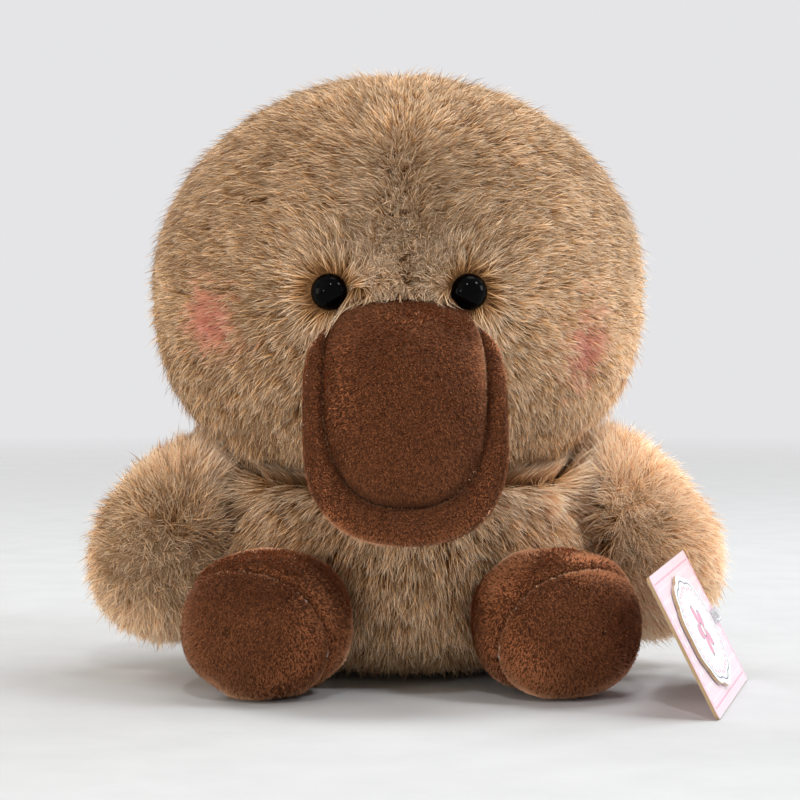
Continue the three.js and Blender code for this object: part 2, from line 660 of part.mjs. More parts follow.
// The pin: a paddle on the printed side, a thread through the hole and round
// into the seam at the tip of the hand, and a bar across its end inside.
function pinForm(grown) {
  const frame = tagFrame();
  const shoulder = new THREE.Vector3(BODY_HALF_WIDTH, SHOULDER_Y, SHOULDER_Z);
  const tilt = THREE.MathUtils.degToRad(ARM_TILT);
  const down = new THREE.Vector3(Math.sin(tilt), 0, -Math.cos(tilt));
  const handTip = new THREE.Vector3(ARM_OUT, 0, -ARM_BELOW_SHOULDER).addScaledVector(down, ARM_HALF_LENGTH);
  const hole = new THREE.Vector3().setFromMatrixPosition(frame).sub(shoulder);
  const out = new THREE.Vector3().setFromMatrixColumn(frame, 2);
  const paddleAt = TAG_SEAT + PADDLE_THICK / 2;
  const route = new THREE.CatmullRomCurve3([
    hole.clone().addScaledVector(out, paddleAt),
    hole.clone().addScaledVector(out, -CARD_THICK * 2),
    hole.clone().addScaledVector(out, -CARD_THICK * 5),
    handTip.clone().addScaledVector(down, 5).lerp(hole, 0.2),
    handTip.clone().addScaledVector(down, 1),
    handTip.clone().addScaledVector(down, -BAR_DEPTH),
  ]);
  const ring = new THREE.Shape();
  ring.absarc(0, 0, PIN_RADIUS + grown, 0, Math.PI * 2, false);
  const points = ring.getSpacedPoints(PIN_SIDES).slice(0, PIN_SIDES);
  const thread = new THREE.ExtrudeGeometry(new THREE.Shape(points), {
    extrudePath: route, steps: PIN_STEPS, bevelEnabled: false,
  });
  const bar = rod(BAR_RADIUS + grown, BAR_LENGTH + 2 * grown, BACK, PIN_SIDES);
  bar.translate(...handTip.clone().addScaledVector(down, -BAR_DEPTH).toArray());
  const paddle = new THREE.BoxGeometry(PADDLE_LENGTH, PADDLE_WIDTH, PADDLE_THICK);
  paddle.translate(0, 0, paddleAt);
  paddle.applyMatrix4(frame).translate(...shoulder.clone().negate().toArray());
  const inside = solid(thread).add(solid(bar));
  return grown > 0 ? inside : inside.add(solid(paddle));
}

function tag() {
  const group = new THREE.Group();
  group.applyMatrix4(tagFrame());
  const boardAt = CARD_THICK / 2 + SEAM_GAP + BOARD_THICK / 2;
  group.add(
    piece('tag_card', solid(extruded(cardShape(), CARD_THICK)), MATERIALS.card),
    piece('tag_board', solid(extruded(boardShape(), BOARD_THICK).translate(0, 0, boardAt)), MATERIALS.board),
  );
  return group;
}

function pin() {
  const group = new THREE.Group();
  group.position.set(BODY_HALF_WIDTH, SHOULDER_Y, SHOULDER_Z);
  group.add(piece('tag_pin', pinForm(0), MATERIALS.pin));
  return group;
}

const group = new THREE.Group();
group.add(
  body(),
  head(),
  arm(1, 'left', pinForm(SEAM_GAP)),
  arm(-1, 'right', null),
  foot(1, 'left'),
  foot(-1, 'right'),
  tail(),
  tag(),
  pin(),
);

export default group;
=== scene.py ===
"""Looks of a seated plush platypus: fur panels, short-pile bill, feet and tail, bead eyes, a hang tag."""
from math import acos, copysign, cos, hypot, pi, radians, sin, sqrt, tan

import bmesh
import bpy
import numpy as np
from mathutils import Matrix, Vector
from numpy.random import default_rng

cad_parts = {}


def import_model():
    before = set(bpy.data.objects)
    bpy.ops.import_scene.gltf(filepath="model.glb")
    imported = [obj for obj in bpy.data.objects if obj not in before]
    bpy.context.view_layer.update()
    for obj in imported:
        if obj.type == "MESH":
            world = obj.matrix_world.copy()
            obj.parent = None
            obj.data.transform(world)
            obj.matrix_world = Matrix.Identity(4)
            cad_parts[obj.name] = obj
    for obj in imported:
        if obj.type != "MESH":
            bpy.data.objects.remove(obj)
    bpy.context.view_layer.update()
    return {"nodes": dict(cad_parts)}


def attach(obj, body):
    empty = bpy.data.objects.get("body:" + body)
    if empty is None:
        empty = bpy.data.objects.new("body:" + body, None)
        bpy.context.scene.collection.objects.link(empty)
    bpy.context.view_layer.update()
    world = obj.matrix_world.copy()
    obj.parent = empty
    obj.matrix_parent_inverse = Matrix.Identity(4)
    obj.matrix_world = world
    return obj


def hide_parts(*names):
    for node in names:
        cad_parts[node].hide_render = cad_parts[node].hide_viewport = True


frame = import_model()
MM = 0.001
X, Y, Z = np.eye(3)
UP, DOWN = Z, -Z
SIDES = (("left", 1), ("right", -1))

# Sizes in millimetres, as in the part's source.
SEAM_GAP = 0.3
BODY_WIDE, BODY_DEEP, BODY_UP, BODY_DOWN = 67.5, 60, 60, 38.5
HEAD_WIDE, HEAD_DEEP, HEAD_UP, HEAD_DOWN, HEAD_POWER = 85.7, 75, 73.3, 70, 2.5
CORE_UP, CORE_DOWN = 15.0, 9.0
ARM_HALF_LENGTH = 34
FOOT_WIDE, FOOT_DEEP, FOOT_TALL = 27.3, 28, 24.75
TAIL_LONG, TAIL_TALL = 38, 9.5
WAIST_Z, NECK_Z, NECK_RADIUS = 38.0, 70.0, 26.0
BASE_SEAM_Z, BODY_SEAM_Y, HEAD_SEAM_Y = 8.0, 2.0, 8.0
HEAD_ASIDE = -3.0
SHOULDER = np.array([67.5, -6.0, 54.0])
STUB_RADIUS, STUB_FLARE, STUB_LENGTH = 14.0, 5.0, 16.0
EYE_RADIUS, EYE_DOME, EYE_SUNK = 6.2, 5.4, 2.0
EYE_SIDE, EYE_ASIDE, EYE_DROP = 23.6, -1.5, 2.0
STEM_RADIUS, STEM_END = 1.9, -9.0
BILL_PITCH = radians(62)
BILL_BEND_FROM, BILL_BEND = 10.0, 0.008
FOOT_SPLAY = SOLE_LEAN = radians(28)
SOLE_SEAM = 6.0
TAIL_SLOPE = radians(10)

# Sizes of the looks alone.
SHELL, SKIN_BELOW = 2.6, 2.4  # the fabric's backing and how far it lies below the pressed pile
UNDER_PILE = 0.4 - SKIN_BELOW  # where the bill's edges lie on that backing
VELBOA_THICK = 1.7
JOIN = 0.02  # half of what is left between two sewn edges
RIM_SWEEP = radians(140)  # how far the bill's roll runs round each side from its lip
RIDGE = (141.0, 179.0)  # the pile of the face parts from this stretch of its middle
NECK_BARE = 28  # no pile grows this near the neck's middle
HAIR_STEPS = 3
FINE, COARSE = 0.25, 0.42  # widths of the hairs that face the camera and of the others


def srgb(r, g, b):
    """A linear colour from its 0 to 255 screen values."""
    def line(c):
        c /= 255
        return c / 12.92 if c <= 0.04045 else ((c + 0.055) / 1.055) ** 2.4
    return (line(r), line(g), line(b), 1.0)


def unit(v):
    return v / np.maximum(np.linalg.norm(v, axis=-1, keepdims=True), 1e-9)


def ramp01(x, low, high):
    t = np.clip((x - low) / (high - low), 0, 1)
    return t * t * (3 - 2 * t)


def all_round(count):
    return np.arange(count) / count * 2 * pi


def bell(x, width, power=2):
    """1 at x = 0, fading over the width."""
    return np.exp(-(x / width) ** power)


def turned(axis, a):
    """A turn about X, Y or Z, which are 0, 1 and 2."""
    m, i, j = np.eye(3), (axis + 1) % 3, (axis + 2) % 3
    m[i, i], m[i, j], m[j, i], m[j, j] = cos(a), -sin(a), sin(a), cos(a)
    return m


def press(p, flats, inset=0.0):
    """Points past a flat moved back onto it."""
    for n, d in flats:
        over = np.maximum(p @ n - (d - inset), 0)
        p = p - over[:, None] * n
    return p


# Forms.

class Form:
    """A stuffed form as the part's source draws it.

    A taper is the share lost, the axis it runs along, the length there and which axes shrink.
    """

    def __init__(self, half, up, down, plan, rise_up, rise_down, turn=np.eye(3), at=(0, 0, 0),
                 taper=None, shift=None, flats=()):
        self.half, self.up, self.down = half, up, down
        self.plan, self.rise_up, self.rise_down = plan, rise_up, rise_down
        self.turn, self.at = turn, np.array(at, float)
        self.taper, self.shift, self.flats = taper, shift, flats

    def measures(self, z):
        """The power that rounds each point off, and its three half sizes."""
        wide, deep = np.full((2, len(z)), np.array(self.half, float)[:, None])
        tall = np.where(z > 0, self.up, self.down)
        return np.where(z > 0, self.rise_up, self.rise_down), np.stack([wide, deep, tall], 1)

    def bend(self, p):
        return BILL_BEND * np.maximum(0, p[:, 1] - BILL_BEND_FROM) ** 2

    def narrow(self, p):
        """The share of its size that a tapered form keeps at each point."""
        share, axis, length, which = self.taper
        return np.where(which, (1 - share * p[:, axis] / length)[:, None], 1.0)

    def place(self, p):
        """Points of the straight form tapered, bent and put in their place."""
        p = p * self.narrow(p) if self.taper else p.copy()
        if self.shift is not None:
            p[:, 1] += self.shift
            p[:, 2] -= self.bend(p)
        return p @ self.turn.T + self.at

    def unplace(self, p):
        return (p - self.at) @ self.turn

    def unshape(self, p):
        """Undoes place."""
        p = self.unplace(p)
        if self.shift is not None:
            p[:, 2] += self.bend(p)
            p[:, 1] -= self.shift
        return p / np.maximum(self.narrow(p), 0.3) if self.taper else p

    def surface(self, d):
        """Points on the surface in the directions d of the unit ball."""
        rise, half = self.measures(d[:, 2])
        flat = (abs(d[:, 0]) ** self.plan + abs(d[:, 1]) ** self.plan) ** (1 / self.plan)
        stretch = (flat ** rise + abs(d[:, 2]) ** rise) ** (-1 / rise)
        return press(self.place(d * stretch[:, None] * half), self.flats)

    def level(self, p, grown=0.0):
        """1 on the surface drawn out by grown, less inside it."""
        q = self.unshape(p)
        rise, half = self.measures(q[:, 2])
        x, y, z = (abs(q) / (half + np.reshape(grown, (-1, 1)))).T
        inside = ((x ** self.plan + y ** self.plan) ** (rise / self.plan) + z ** rise) ** (1 / rise)
        for n, d in self.flats:
            inside = np.maximum(inside, 1 + (p @ n - d - grown) / 50)
        return inside

    def push_out(self, p, grown):
        """Points inside the form, drawn out by grown, moved to its surface."""
        q = self.unshape(p)
        s = np.maximum(self.level(p, grown), 0.05)[:, None]
        out = self.place(np.where(s < 1, q / s, q))
        return np.where(s < 1, out, p)


def foot_seat(side):
    n = np.array([side * sin(FOOT_SPLAY), -cos(FOOT_SPLAY), 0])
    return n, hypot(BODY_WIDE * n[0], BODY_DEEP * n[1]) - 3.4


def tail_seat():
    n = np.array([0, cos(radians(20)), -sin(radians(20))])
    q = 2.6 / 1.6
    bulge = ((BODY_DEEP * n[1]) ** q + (BODY_DOWN * -n[2]) ** q) ** (1 / q)
    return n, bulge + n[2] * WAIST_Z - 3


def arm_form(side):
    at = SHOULDER * np.array([side, 1, 1]) + np.array([side * 12.5, 0, -6.5])
    return Form((25.5, 19), ARM_HALF_LENGTH, ARM_HALF_LENGTH, 2.2, 2.2, 2.2, turn=turned(1, -side * radians(32)),
                taper=(0.08, 2, ARM_HALF_LENGTH, (1, 1, 0)), at=at, flats=[(np.array([-side, 0, 0.0]), -67.8)])


def foot_form(side):
    n, d = foot_seat(side)
    at = n * (d + 22.5)
    at[0] -= side * n[1] * 12
    at[1] += side * n[0] * 12
    at[2] = 24.25
    return Form((FOOT_WIDE, FOOT_DEEP), FOOT_TALL, FOOT_TALL, 2.2, 2.3, 2.3, turn=turned(2, side * FOOT_SPLAY),
                at=at, flats=[(-n, -d - SEAM_GAP), (DOWN, 0.0)])


BODY = Form((BODY_WIDE, BODY_DEEP), BODY_UP, BODY_DOWN, 2, 2, 2.6, at=(0, 0, WAIST_Z),
            flats=[foot_seat(1), foot_seat(-1), tail_seat(), (UP, NECK_Z), (DOWN, 0.0)])
HEAD_AT = np.array([HEAD_ASIDE, 0, NECK_Z + SEAM_GAP + 67])
HEAD = Form((HEAD_WIDE, HEAD_DEEP), HEAD_UP, HEAD_DOWN, 2, 2, HEAD_POWER, at=HEAD_AT,
            flats=[(DOWN, -NECK_Z - SEAM_GAP)])
BILL_AT = HEAD_AT + np.array([0, -93.5, -45])
CORE = Form((26.5, 43), CORE_UP, CORE_DOWN, 2.6, 2.4, 2.4, turn=turned(0, BILL_PITCH), at=BILL_AT, shift=13)
RIM = Form((33, 46), 3.2, 3.2, 2.6, 3, 3, turn=turned(0, BILL_PITCH), at=BILL_AT, shift=4)
ARMS = {side: arm_form(side) for side in (1, -1)}
FEET = {side: foot_form(side) for side in (1, -1)}
TAIL = Form((29, TAIL_LONG), TAIL_TALL, TAIL_TALL, 2.4, 2.2, 2.2, turn=turned(0, -TAIL_SLOPE),
            taper=(0.3, 1, TAIL_LONG, (0, 0, 1)), at=(0, 84, 0),
            flats=[(-tail_seat()[0], -tail_seat()[1] - SEAM_GAP), (DOWN, 0.0)])


# Meshes.

def flipped(faces):
    return [f[::-1] for f in faces]


def tube_faces(rows, columns):
    """Faces between the rows of a grid that is closed round its columns."""
    i = np.arange(rows - 1)[:, None] * columns
    a, b = np.arange(columns), (np.arange(columns) + 1) % columns
    return np.stack([i + a, i + columns + a, i + columns + b, i + b], -1).reshape(-1, 4).tolist()


def closed_tube(rows, columns):
    """A tube's faces turned outward, with a flat face at both ends."""
    last = (rows - 1) * columns
    return flipped(tube_faces(rows, columns)) + [list(range(columns))[::-1], list(range(last, last + columns))]


def ball(around, rings):
    """Directions of a unit ball with its poles on Z, and its faces."""
    t = np.linspace(0, pi, rings + 1)[1:-1]
    a = all_round(around)
    across, tall = np.sin(t)[:, None], np.repeat(np.cos(t)[:, None], around, 1)
    middle = np.stack([across * np.cos(a), across * np.sin(a), tall], -1)
    d = np.concatenate([[[0, 0, 1.0]], middle.reshape(-1, 3), [[0, 0, -1.0]]])
    last = 1 + (rings - 2) * around
    faces = (np.array(tube_faces(rings - 1, around)) + 1).tolist()
    faces += [[0, 1 + k, 1 + (k + 1) % around] for k in range(around)]
    return d, faces + [[len(d) - 1, last + (k + 1) % around, last + k] for k in range(around)]


def normals_of(p, faces):
    """Unit vertex normals."""
    n = np.zeros_like(p)
    for size in (3, 4):
        f = np.array([x for x in faces if len(x) == size])
        if len(f):
            a, b, c, d = (p[f[:, k]] for k in (0, 1, 2, -1))
            m = np.cross(c - a, d - b) if size == 4 else np.cross(b - a, c - a)
            for k in range(size):
                np.add.at(n, f[:, k], m)
    return unit(n)


def add_object(name, data, material=None):
    if material:
        data.materials.append(material)
    obj = bpy.data.objects.new(name, data)
    bpy.context.scene.collection.objects.link(obj)
    return obj


def add_faces(name, p, faces, material, smooth=True):
    mesh = bpy.data.meshes.new(name)
    mesh.from_pydata((p * MM).tolist(), [], faces)
    mesh.polygons.foreach_set("use_smooth", [smooth] * len(mesh.polygons))
    return add_object(name, mesh, material)


def cut(obj, planes):
    """Keeps what lies on the inner side of each (normal, distance), in millimetres."""
    bm = bmesh.new()
    bm.from_mesh(obj.data)
    for n, d in planes:
        geom = bm.verts[:] + bm.edges[:] + bm.faces[:]
        bmesh.ops.bisect_plane(bm, geom=geom, plane_co=np.array(n) * d * MM, plane_no=n, clear_outer=True)
    bm.to_mesh(obj.data)
    bm.free()
    return obj


def thicken(obj, thick):
    m = obj.modifiers.new("thickness", "SOLIDIFY")
    m.thickness, m.offset, m.use_rim = thick * MM, -1, True


def dress(obj, body, node):
    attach(obj, body)
    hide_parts(node)


def ripple(angle, seed, low, high, count=9):
    """A smooth uneven wave round a seam, between about -1 and 1."""
    rng = default_rng(seed)
    k, phase, size = rng.integers(low, high, count), rng.uniform(0, 2 * pi, count), rng.uniform(0.4, 1, count)
    return (size * np.sin(angle[..., None] * k + phase)).sum(-1) / size.sum() * 1.8


# Materials.

class Value:
    """A socket to reckon with: each operation adds a Math node."""

    def __init__(self, m, socket):
        self.m, self.socket = m, socket

    def __rsub__(self, b):
        return self.m.math("SUBTRACT", b, self)


for name, operation in dict(
        __add__="ADD", __sub__="SUBTRACT", __mul__="MULTIPLY", __truediv__="DIVIDE", __pow__="POWER",
        __abs__="ABSOLUTE", __gt__="GREATER_THAN", __lt__="LESS_THAN", near="COMPARE", least="MINIMUM",
        most="MAXIMUM", root="SQRT", sine="SINE", cosine="COSINE", angle="ARCTAN2").items():
    setattr(Value, name, lambda self, b=0.0, c=0.0, operation=operation: self.m.math(operation, self, b, c))


class Nodes:
    """A short hand for building the nodes of a material or a world."""

    def __init__(self, name, kind="materials"):
        self.block = getattr(bpy.data, kind).new(name)
        self.block.use_nodes = True
        self.tree = self.block.node_tree
        self.shader = self.tree.nodes.get("Principled BSDF")

    def set(self, **sockets):
        for name, value in sockets.items():
            self.shader.inputs[name.replace("_", " ")].default_value = value
        return self

    def fill(self, socket, value):
        value = getattr(value, "socket", value)
        if isinstance(value, bpy.types.NodeSocket):
            self.tree.links.new(value, socket)
        else:
            socket.default_value = value

    def node(self, kind, inputs=(), **fields):
        n = self.tree.nodes.new("ShaderNode" + kind)
        for name, value in fields.items():
            setattr(n, name, value)
        for key, value in dict(inputs).items():
            self.fill(n.inputs[key], value)
        return n

    def math(self, operation, a, b=0.0, c=0.0, clamp=False):
        return self.value("Math", {0: a, 1: b, 2: c}, operation=operation, use_clamp=clamp)

    def value(self, kind, inputs=(), **fields):
        """A new node's first output."""
        return Value(self, self.node(kind, inputs, **fields).outputs[0])

    def noise(self, where, scale, detail=3.0, rough=0.55, twist=0.0):
        return self.value("TexNoise", {"Vector": where, "Scale": scale, "Detail": detail, "Roughness": rough,
                                       "Distortion": twist})

    def span(self, value, from_low, from_high, low=0.0, high=1.0):
        return self.value("MapRange", {0: value, 1: from_low, 2: from_high, 3: low, 4: high})

    def ramp(self, value, *stops):
        """Colours at their places, each stop a place and a screen colour."""
        n = self.node("ValToRGB", {0: value})
        e = n.color_ramp.elements
        while len(e) < len(stops):
            e.new(0.5)
        for one, (at, *colour) in zip(e, stops):
            one.position, one.color = at, srgb(*colour)
        return n.outputs[0]

    def mix(self, factor, a, b):
        n = self.node("Mix", data_type="RGBA")
        for key, value in {0: factor, 6: a, 7: b}.items():
            self.fill(n.inputs[key], value)
        return n.outputs[2]

    def speckle(self, noise, dark, light):
        return self.mix(self.span(noise, 0.3, 0.7), srgb(*dark), srgb(*light))

    def place(self, scale=(1, 1, 1)):
        where = self.node("TexCoord").outputs["Object"]
        return self.value("Mapping", {"Vector": where, "Scale": scale})

    def along_hair(self):
        """U, the hair's tone, and V, from its root to its tip."""
        uv = self.node("UVMap", uv_map="OFBake").outputs[0]
        return self.node("SeparateXYZ", {0: uv}).outputs[:2]

    def show(self, kind, share, a, b):
        """Lets the output show a mix of two shaders."""
        self.fill(self.tree.nodes[kind + " Output"].inputs[0], self.value("MixShader", {0: share, 1: a, 2: b}))

    def finish(self, colour=None, height=None, distance=0.0003, strength=1.0, rough=None):
        if height is not None:
            height = self.value("Bump", {"Height": height, "Strength": strength, "Distance": distance})
        for name, value in {"Base Color": colour, "Roughness": rough, "Normal": height}.items():
            if value is not None:
                self.fill(self.shader.inputs[name], value)
        return self.block


def fur_material():
    """Pile with dark roots and pale tips, partly its own colour, partly painted shade among the roots and painted
    light on the tips: U up to 0.7 is the hair's tint, above that its blush.
    """
    m = Nodes("plush_fur").set(Roughness=0.6, Specular_IOR_Level=0.12, Sheen_Weight=0.14, Sheen_Roughness=0.4,
                               Sheen_Tint=srgb(255, 232, 204))
    u, v = m.along_hair()
    hair = m.ramp(v, (0.0, 84, 50, 24), (0.3, 152, 100, 56), (0.6, 214, 167, 116), (0.84, 247, 220, 186),
                  (1.0, 255, 247, 236))
    pink = m.ramp(v, (0.0, 90, 46, 36), (0.35, 164, 88, 74), (0.75, 222, 130, 112), (1.0, 242, 180, 164))
    # Lower tints, which carry much of the painted shade, come out warmer and deeper than higher ones.
    spans = {k: m.span(u, 0.0, 0.7, low, 1.5) for k, low in enumerate((0.36, 0.29, 0.22))}
    shade = m.value("VectorMath", {0: hair, 1: m.value("CombineXYZ", spans)}, operation="MULTIPLY")
    return m.finish(m.mix(m.span(u, 0.74, 0.98), shade, pink))


def pile_material():
    """The short brown pile, mapped as the fur is."""
    m = Nodes("brown_pile").set(Roughness=0.75, Specular_IOR_Level=0.08, Sheen_Weight=1.0, Sheen_Roughness=0.3,
                                Sheen_Tint=srgb(255, 200, 162))
    u, v = m.along_hair()
    hair = m.ramp(v, (0.0, 86, 46, 25), (0.5, 152, 91, 56), (1.0, 196, 135, 98))
    return m.finish(m.value("VectorMath", {0: hair, 3: m.span(u, 0.0, 1.0, 0.3, 1.7)}, operation="SCALE"))


def mottled(name, dark, light, distance, scale, detail=3.0, rough=0.55, twist=0.0, **sockets):
    """A material whose colour and height follow one noise."""
    m = Nodes(name).set(**sockets)
    grain = m.noise(m.place(), scale, detail, rough, twist)
    return m.finish(m.ramp(grain, (0.3, *dark), (0.7, *light)), grain, distance)


def velboa_material():
    """The fine nap that is the ground of the short pile."""
    m = Nodes("brown_velboa").set(Roughness=0.86, Specular_IOR_Level=0.2, Sheen_Weight=0.4, Sheen_Roughness=0.35,
                                  Sheen_Tint=srgb(236, 168, 120))
    depth = m.noise(m.place((1.0, 1.0, 0.55)), 1150, 3, 0.6) * 0.62 + m.noise(m.place(), 2900, 2, 0.6) * 0.38
    return m.finish(m.ramp(depth, (0.32, 48, 24, 12), (0.48, 84, 46, 25), (0.66, 124, 74, 44)), depth, 0.0007, 0.8)


def eye_material():
    m = Nodes("eye_black").set(Base_Color=srgb(2, 2, 3), Roughness=0.06, Specular_IOR_Level=0.05)
    return m.finish(rough=m.span(m.noise(m.place(), 420), 0.35, 0.75, 0.03, 0.09))


def pouch_material():
    m = Nodes("pouch_cloth").set(Roughness=0.9)
    where = {"Vector": m.place(), "Scale": 520.0, "Distortion": 0.4}
    weave = m.math("MAXIMUM", *[m.node("TexWave", where, bands_direction=d).outputs[1] for d in "XY"])
    return m.finish(m.ramp(weave, (0.0, 186, 181, 168), (1.0, 224, 220, 209)), weave, 0.0002)


def pin_material():
    m = Nodes("pin_clear").set(Base_Color=srgb(240, 243, 245), Transmission_Weight=0.8, IOR=1.4)
    flow = m.noise(m.place(), 300, 2)
    return m.finish(rough=m.span(flow, 0.3, 0.7, 0.08, 0.2), height=flow, distance=0.00003, strength=0.5)


FUR = fur_material()
BACKING = mottled("plush_backing", (104, 73, 45), (150, 112, 74), 0.0004, 1400, 2, Roughness=0.95,
                  Specular_IOR_Level=0.1)
NAP = velboa_material()
PILE = pile_material()
STUFFING = mottled("stuffing_white", (214, 211, 203), (246, 244, 239), 0.0012, 260, 5, 0.7, 1.5, Roughness=0.95,
                   Sheen_Weight=0.3)


# The plush skins: the backing of each panel, cut from one stuffed form.

def valley(p, n, normal, distance, depth, width, where=1.0):
    """Draws the fabric in along a seam."""
    s = p @ np.array(normal, float) - distance
    return p - n * (depth * bell(s, width) * where)[:, None]


def skin(form, around, rings, seams, stub=False):
    """The backing's points, faces and normals."""
    d, faces = ball(around, rings)
    p = form.surface(d)
    for side in (1, -1) if stub else ():
        r = np.hypot(p[:, 1] - SHOULDER[1], p[:, 2] - SHOULDER[2])
        out = SHOULDER[0] - STUB_LENGTH * np.clip((r - STUB_RADIUS) / STUB_FLARE, 0, 1.2)
        short = (np.sign(p[:, 0]) == side) & (abs(p[:, 0]) < out) & (abs(p[:, 0]) > 30)
        p[short, 0] = side * out[short]
    n = normals_of(p, faces)
    p = p - n * SKIN_BELOW
    for seam in seams(p):
        p = valley(p, n, *seam)
    p = press(p, form.flats, SKIN_BELOW)
    return p, faces, normals_of(p, faces)


def panels(p, faces, cuts, body):
    """One thick piece for each node, within its planes."""
    for node, planes in cuts.items():
        obj = cut(add_faces(f"{node}_skin", p, faces, BACKING), planes)
        thicken(obj, SHELL)
        dress(obj, body, node)


def without_neck(p, faces):
    m = np.array([p[f].mean(0) for f in faces])
    neck = (np.hypot(m[:, 0] - HEAD_ASIDE, m[:, 1]) < NECK_RADIUS) & (abs(m[:, 2] - NECK_Z) < 4)
    return [f for f, gone in zip(faces, neck) if not gone]


def head_seams(p):
    brow = ramp01(p[:, 2], 148, 164) * (1 - ramp01(p[:, 2], 184, 206))
    middle = np.where(p[:, 1] < HEAD_SEAM_Y, 0.25 + 0.75 * brow, 0.5)
    return [(X, HEAD_ASIDE, 1.6, 4.5, middle), (Y, HEAD_SEAM_Y, 0.6, 3.0, 1.0)]


def body_seams(p):
    back = np.where(p[:, 1] > BODY_SEAM_Y, 1.0, 0.0)
    return [(X, 0.0, 1.2, 3.5, back), (Y, BODY_SEAM_Y, 0.8, 3.0, 1.0), (Z, BASE_SEAM_Z, 0.8, 2.5, 1.0)]


def arm_seams(p):
    return [(Y, SHOULDER[1], 0.9, 3.0, 1.0)]


head_p, head_f, head_n = skin(HEAD, 176, 96, head_seams)
body_p, body_f, body_n = skin(BODY, 160, 80, body_seams, stub=True)
arm_skins = {side: skin(ARMS[side], 96, 56, arm_seams) for side in (1, -1)}

head_cuts = {}
body_cuts = {"body_front": [(Y, BODY_SEAM_Y - JOIN), (-Z, -BASE_SEAM_Z - JOIN)],
             "body_base": [(Z, BASE_SEAM_Z - JOIN)]}
for name, side in SIDES:
    middle = (-side * X, -side * HEAD_ASIDE - JOIN)
    head_cuts[f"head_front_{name}"] = [middle, (Y, HEAD_SEAM_Y - JOIN)]
    head_cuts[f"head_back_{name}"] = [middle, (-Y, -HEAD_SEAM_Y - JOIN)]
    body_cuts[f"body_back_{name}"] = [(-side * X, -JOIN), (-Y, -BODY_SEAM_Y - JOIN), (-Z, -BASE_SEAM_Z - JOIN)]
panels(head_p, without_neck(head_p, head_f), head_cuts, "head")
panels(body_p, without_neck(body_p, body_f), body_cuts, "body")
for name, side in SIDES:
    panels(*arm_skins[side][:2], {f"arm_{name}_front": [(Y, SHOULDER[1] - JOIN)],
                                  f"arm_{name}_back": [(-Y, -SHOULDER[1] - JOIN)]}, f"arm_{name}")


# Short-pile pieces.

SHORT_PILE = []


def ring_form(form, levels, thetas):
    """Points on a form's cross sections round its own Y axis, leaning with the sole's seam near it."""
    y0, t = np.meshgrid(levels, thetas, indexing="ij")
    cx, cz = abs(np.cos(t)), abs(np.sin(t))
    upright = np.where(y0 < -SOLE_SEAM, 20, 28)  # this far from the seam a section stands upright
    slope = tan(SOLE_LEAN) * (1 - ramp01(abs(y0 + SOLE_SEAM), 3, upright))
    low, high = np.zeros_like(y0), np.ones_like(y0)
    rise = form.rise_up
    for _ in range(30):
        r = (low + high) / 2
        y = y0 - slope * r * np.sin(t) * form.up
        fy = abs(y) / form.half[1]
        over = ((r * cx) ** form.plan + fy ** form.plan) ** (rise / form.plan) + (r * cz) ** rise > 1
        high, low = np.where(over, r, high), np.where(over, low, r)
    return np.stack([low * np.cos(t) * form.half[0], y, low * np.sin(t) * form.up], -1).reshape(-1, 3)


def velboa(node, p, faces, body, thick=VELBOA_THICK):
    """A short-pile piece that stands for one node, kept for its pile."""
    if (normals_of(p, faces) * (p - p.mean(0))).sum() < 0:
        faces = flipped(faces)
    obj = add_faces(f"{node}_velboa", p, faces, NAP)
    if thick:
        thicken(obj, thick)
    dress(obj, body, node)
    SHORT_PILE.append((node, body, p, faces))


def from_sole_seam(q):
    """How far a foot's local points lie behind the plane of its sole's seam."""
    return q[:, 1] + SOLE_SEAM + q[:, 2] * tan(SOLE_LEAN)


def foot(name, side):
    """A sole panel that bulges forward from a puckered seam, and an upper behind it."""
    form, columns, back = FEET[side], 144, 22.2
    near = np.array([-0.35, 0.4, 0.9, 1.5, 2.2, 3.2, 4.5, 6.0])
    front = -FOOT_DEEP * np.cos(np.linspace(0.03, 1.0, 30) * acos((SOLE_SEAM + 6.5) / FOOT_DEEP))
    parts = {"sole": (np.concatenate([front, -SOLE_SEAM - near[::-1]]), -FOOT_DEEP),
             "upper": (np.concatenate([-SOLE_SEAM + near, np.linspace(1.5, back, 22)]), back)}
    for part, (rows, end) in parts.items():
        q = np.concatenate([ring_form(form, rows, all_round(columns)), [[0, end, 0]]])
        hub, edge = len(q) - 1, 0 if part == "sole" else (len(rows) - 1) * columns
        fan = [[hub, edge + k, edge + (k + 1) % columns] for k in range(columns)]
        faces = flipped(tube_faces(len(rows), columns)) + (fan if part == "sole" else flipped(fan))
        n = normals_of(q, faces)
        if (n * q).sum(1).mean() < 0:
            faces, n = flipped(faces), -n
        gap = abs(from_sole_seam(q)) * cos(SOLE_LEAN)
        angle, seed = np.arctan2(q[:, 2], q[:, 0]), 40 + side
        draw = 2.9 * bell(gap, 1.5, 1.3) + 0.35 * bell(gap, 5.0)
        pucker = 0.6 * bell(gap, 3.6, 1.5) * ripple(angle, seed, 16, 46)
        lump = 0.45 * ripple(angle + q[:, 1] / 17, seed + 3, 2, 7, 5) * np.clip(gap / 6, 0, 1)
        lump = lump * ramp01(np.hypot(q[:, 0], q[:, 2]), 3, 16)
        q = q - n * (draw + pucker - lump)[:, None]
        velboa(f"foot_{name}_{part}", press(form.place(q), form.flats), faces, f"foot_{name}")


for name, side in SIDES:
    foot(name, side)


def outline_point(form, phi, grown=0.0):
    """Local x and y on a flat form's outline in the direction phi, from its own middle."""
    c, s = np.cos(phi), np.sin(phi)
    k = (abs(c) ** form.plan + abs(s) ** form.plan) ** (-1 / form.plan)
    return (form.half[0] + grown) * c * k, (form.half[1] + grown) * s * k


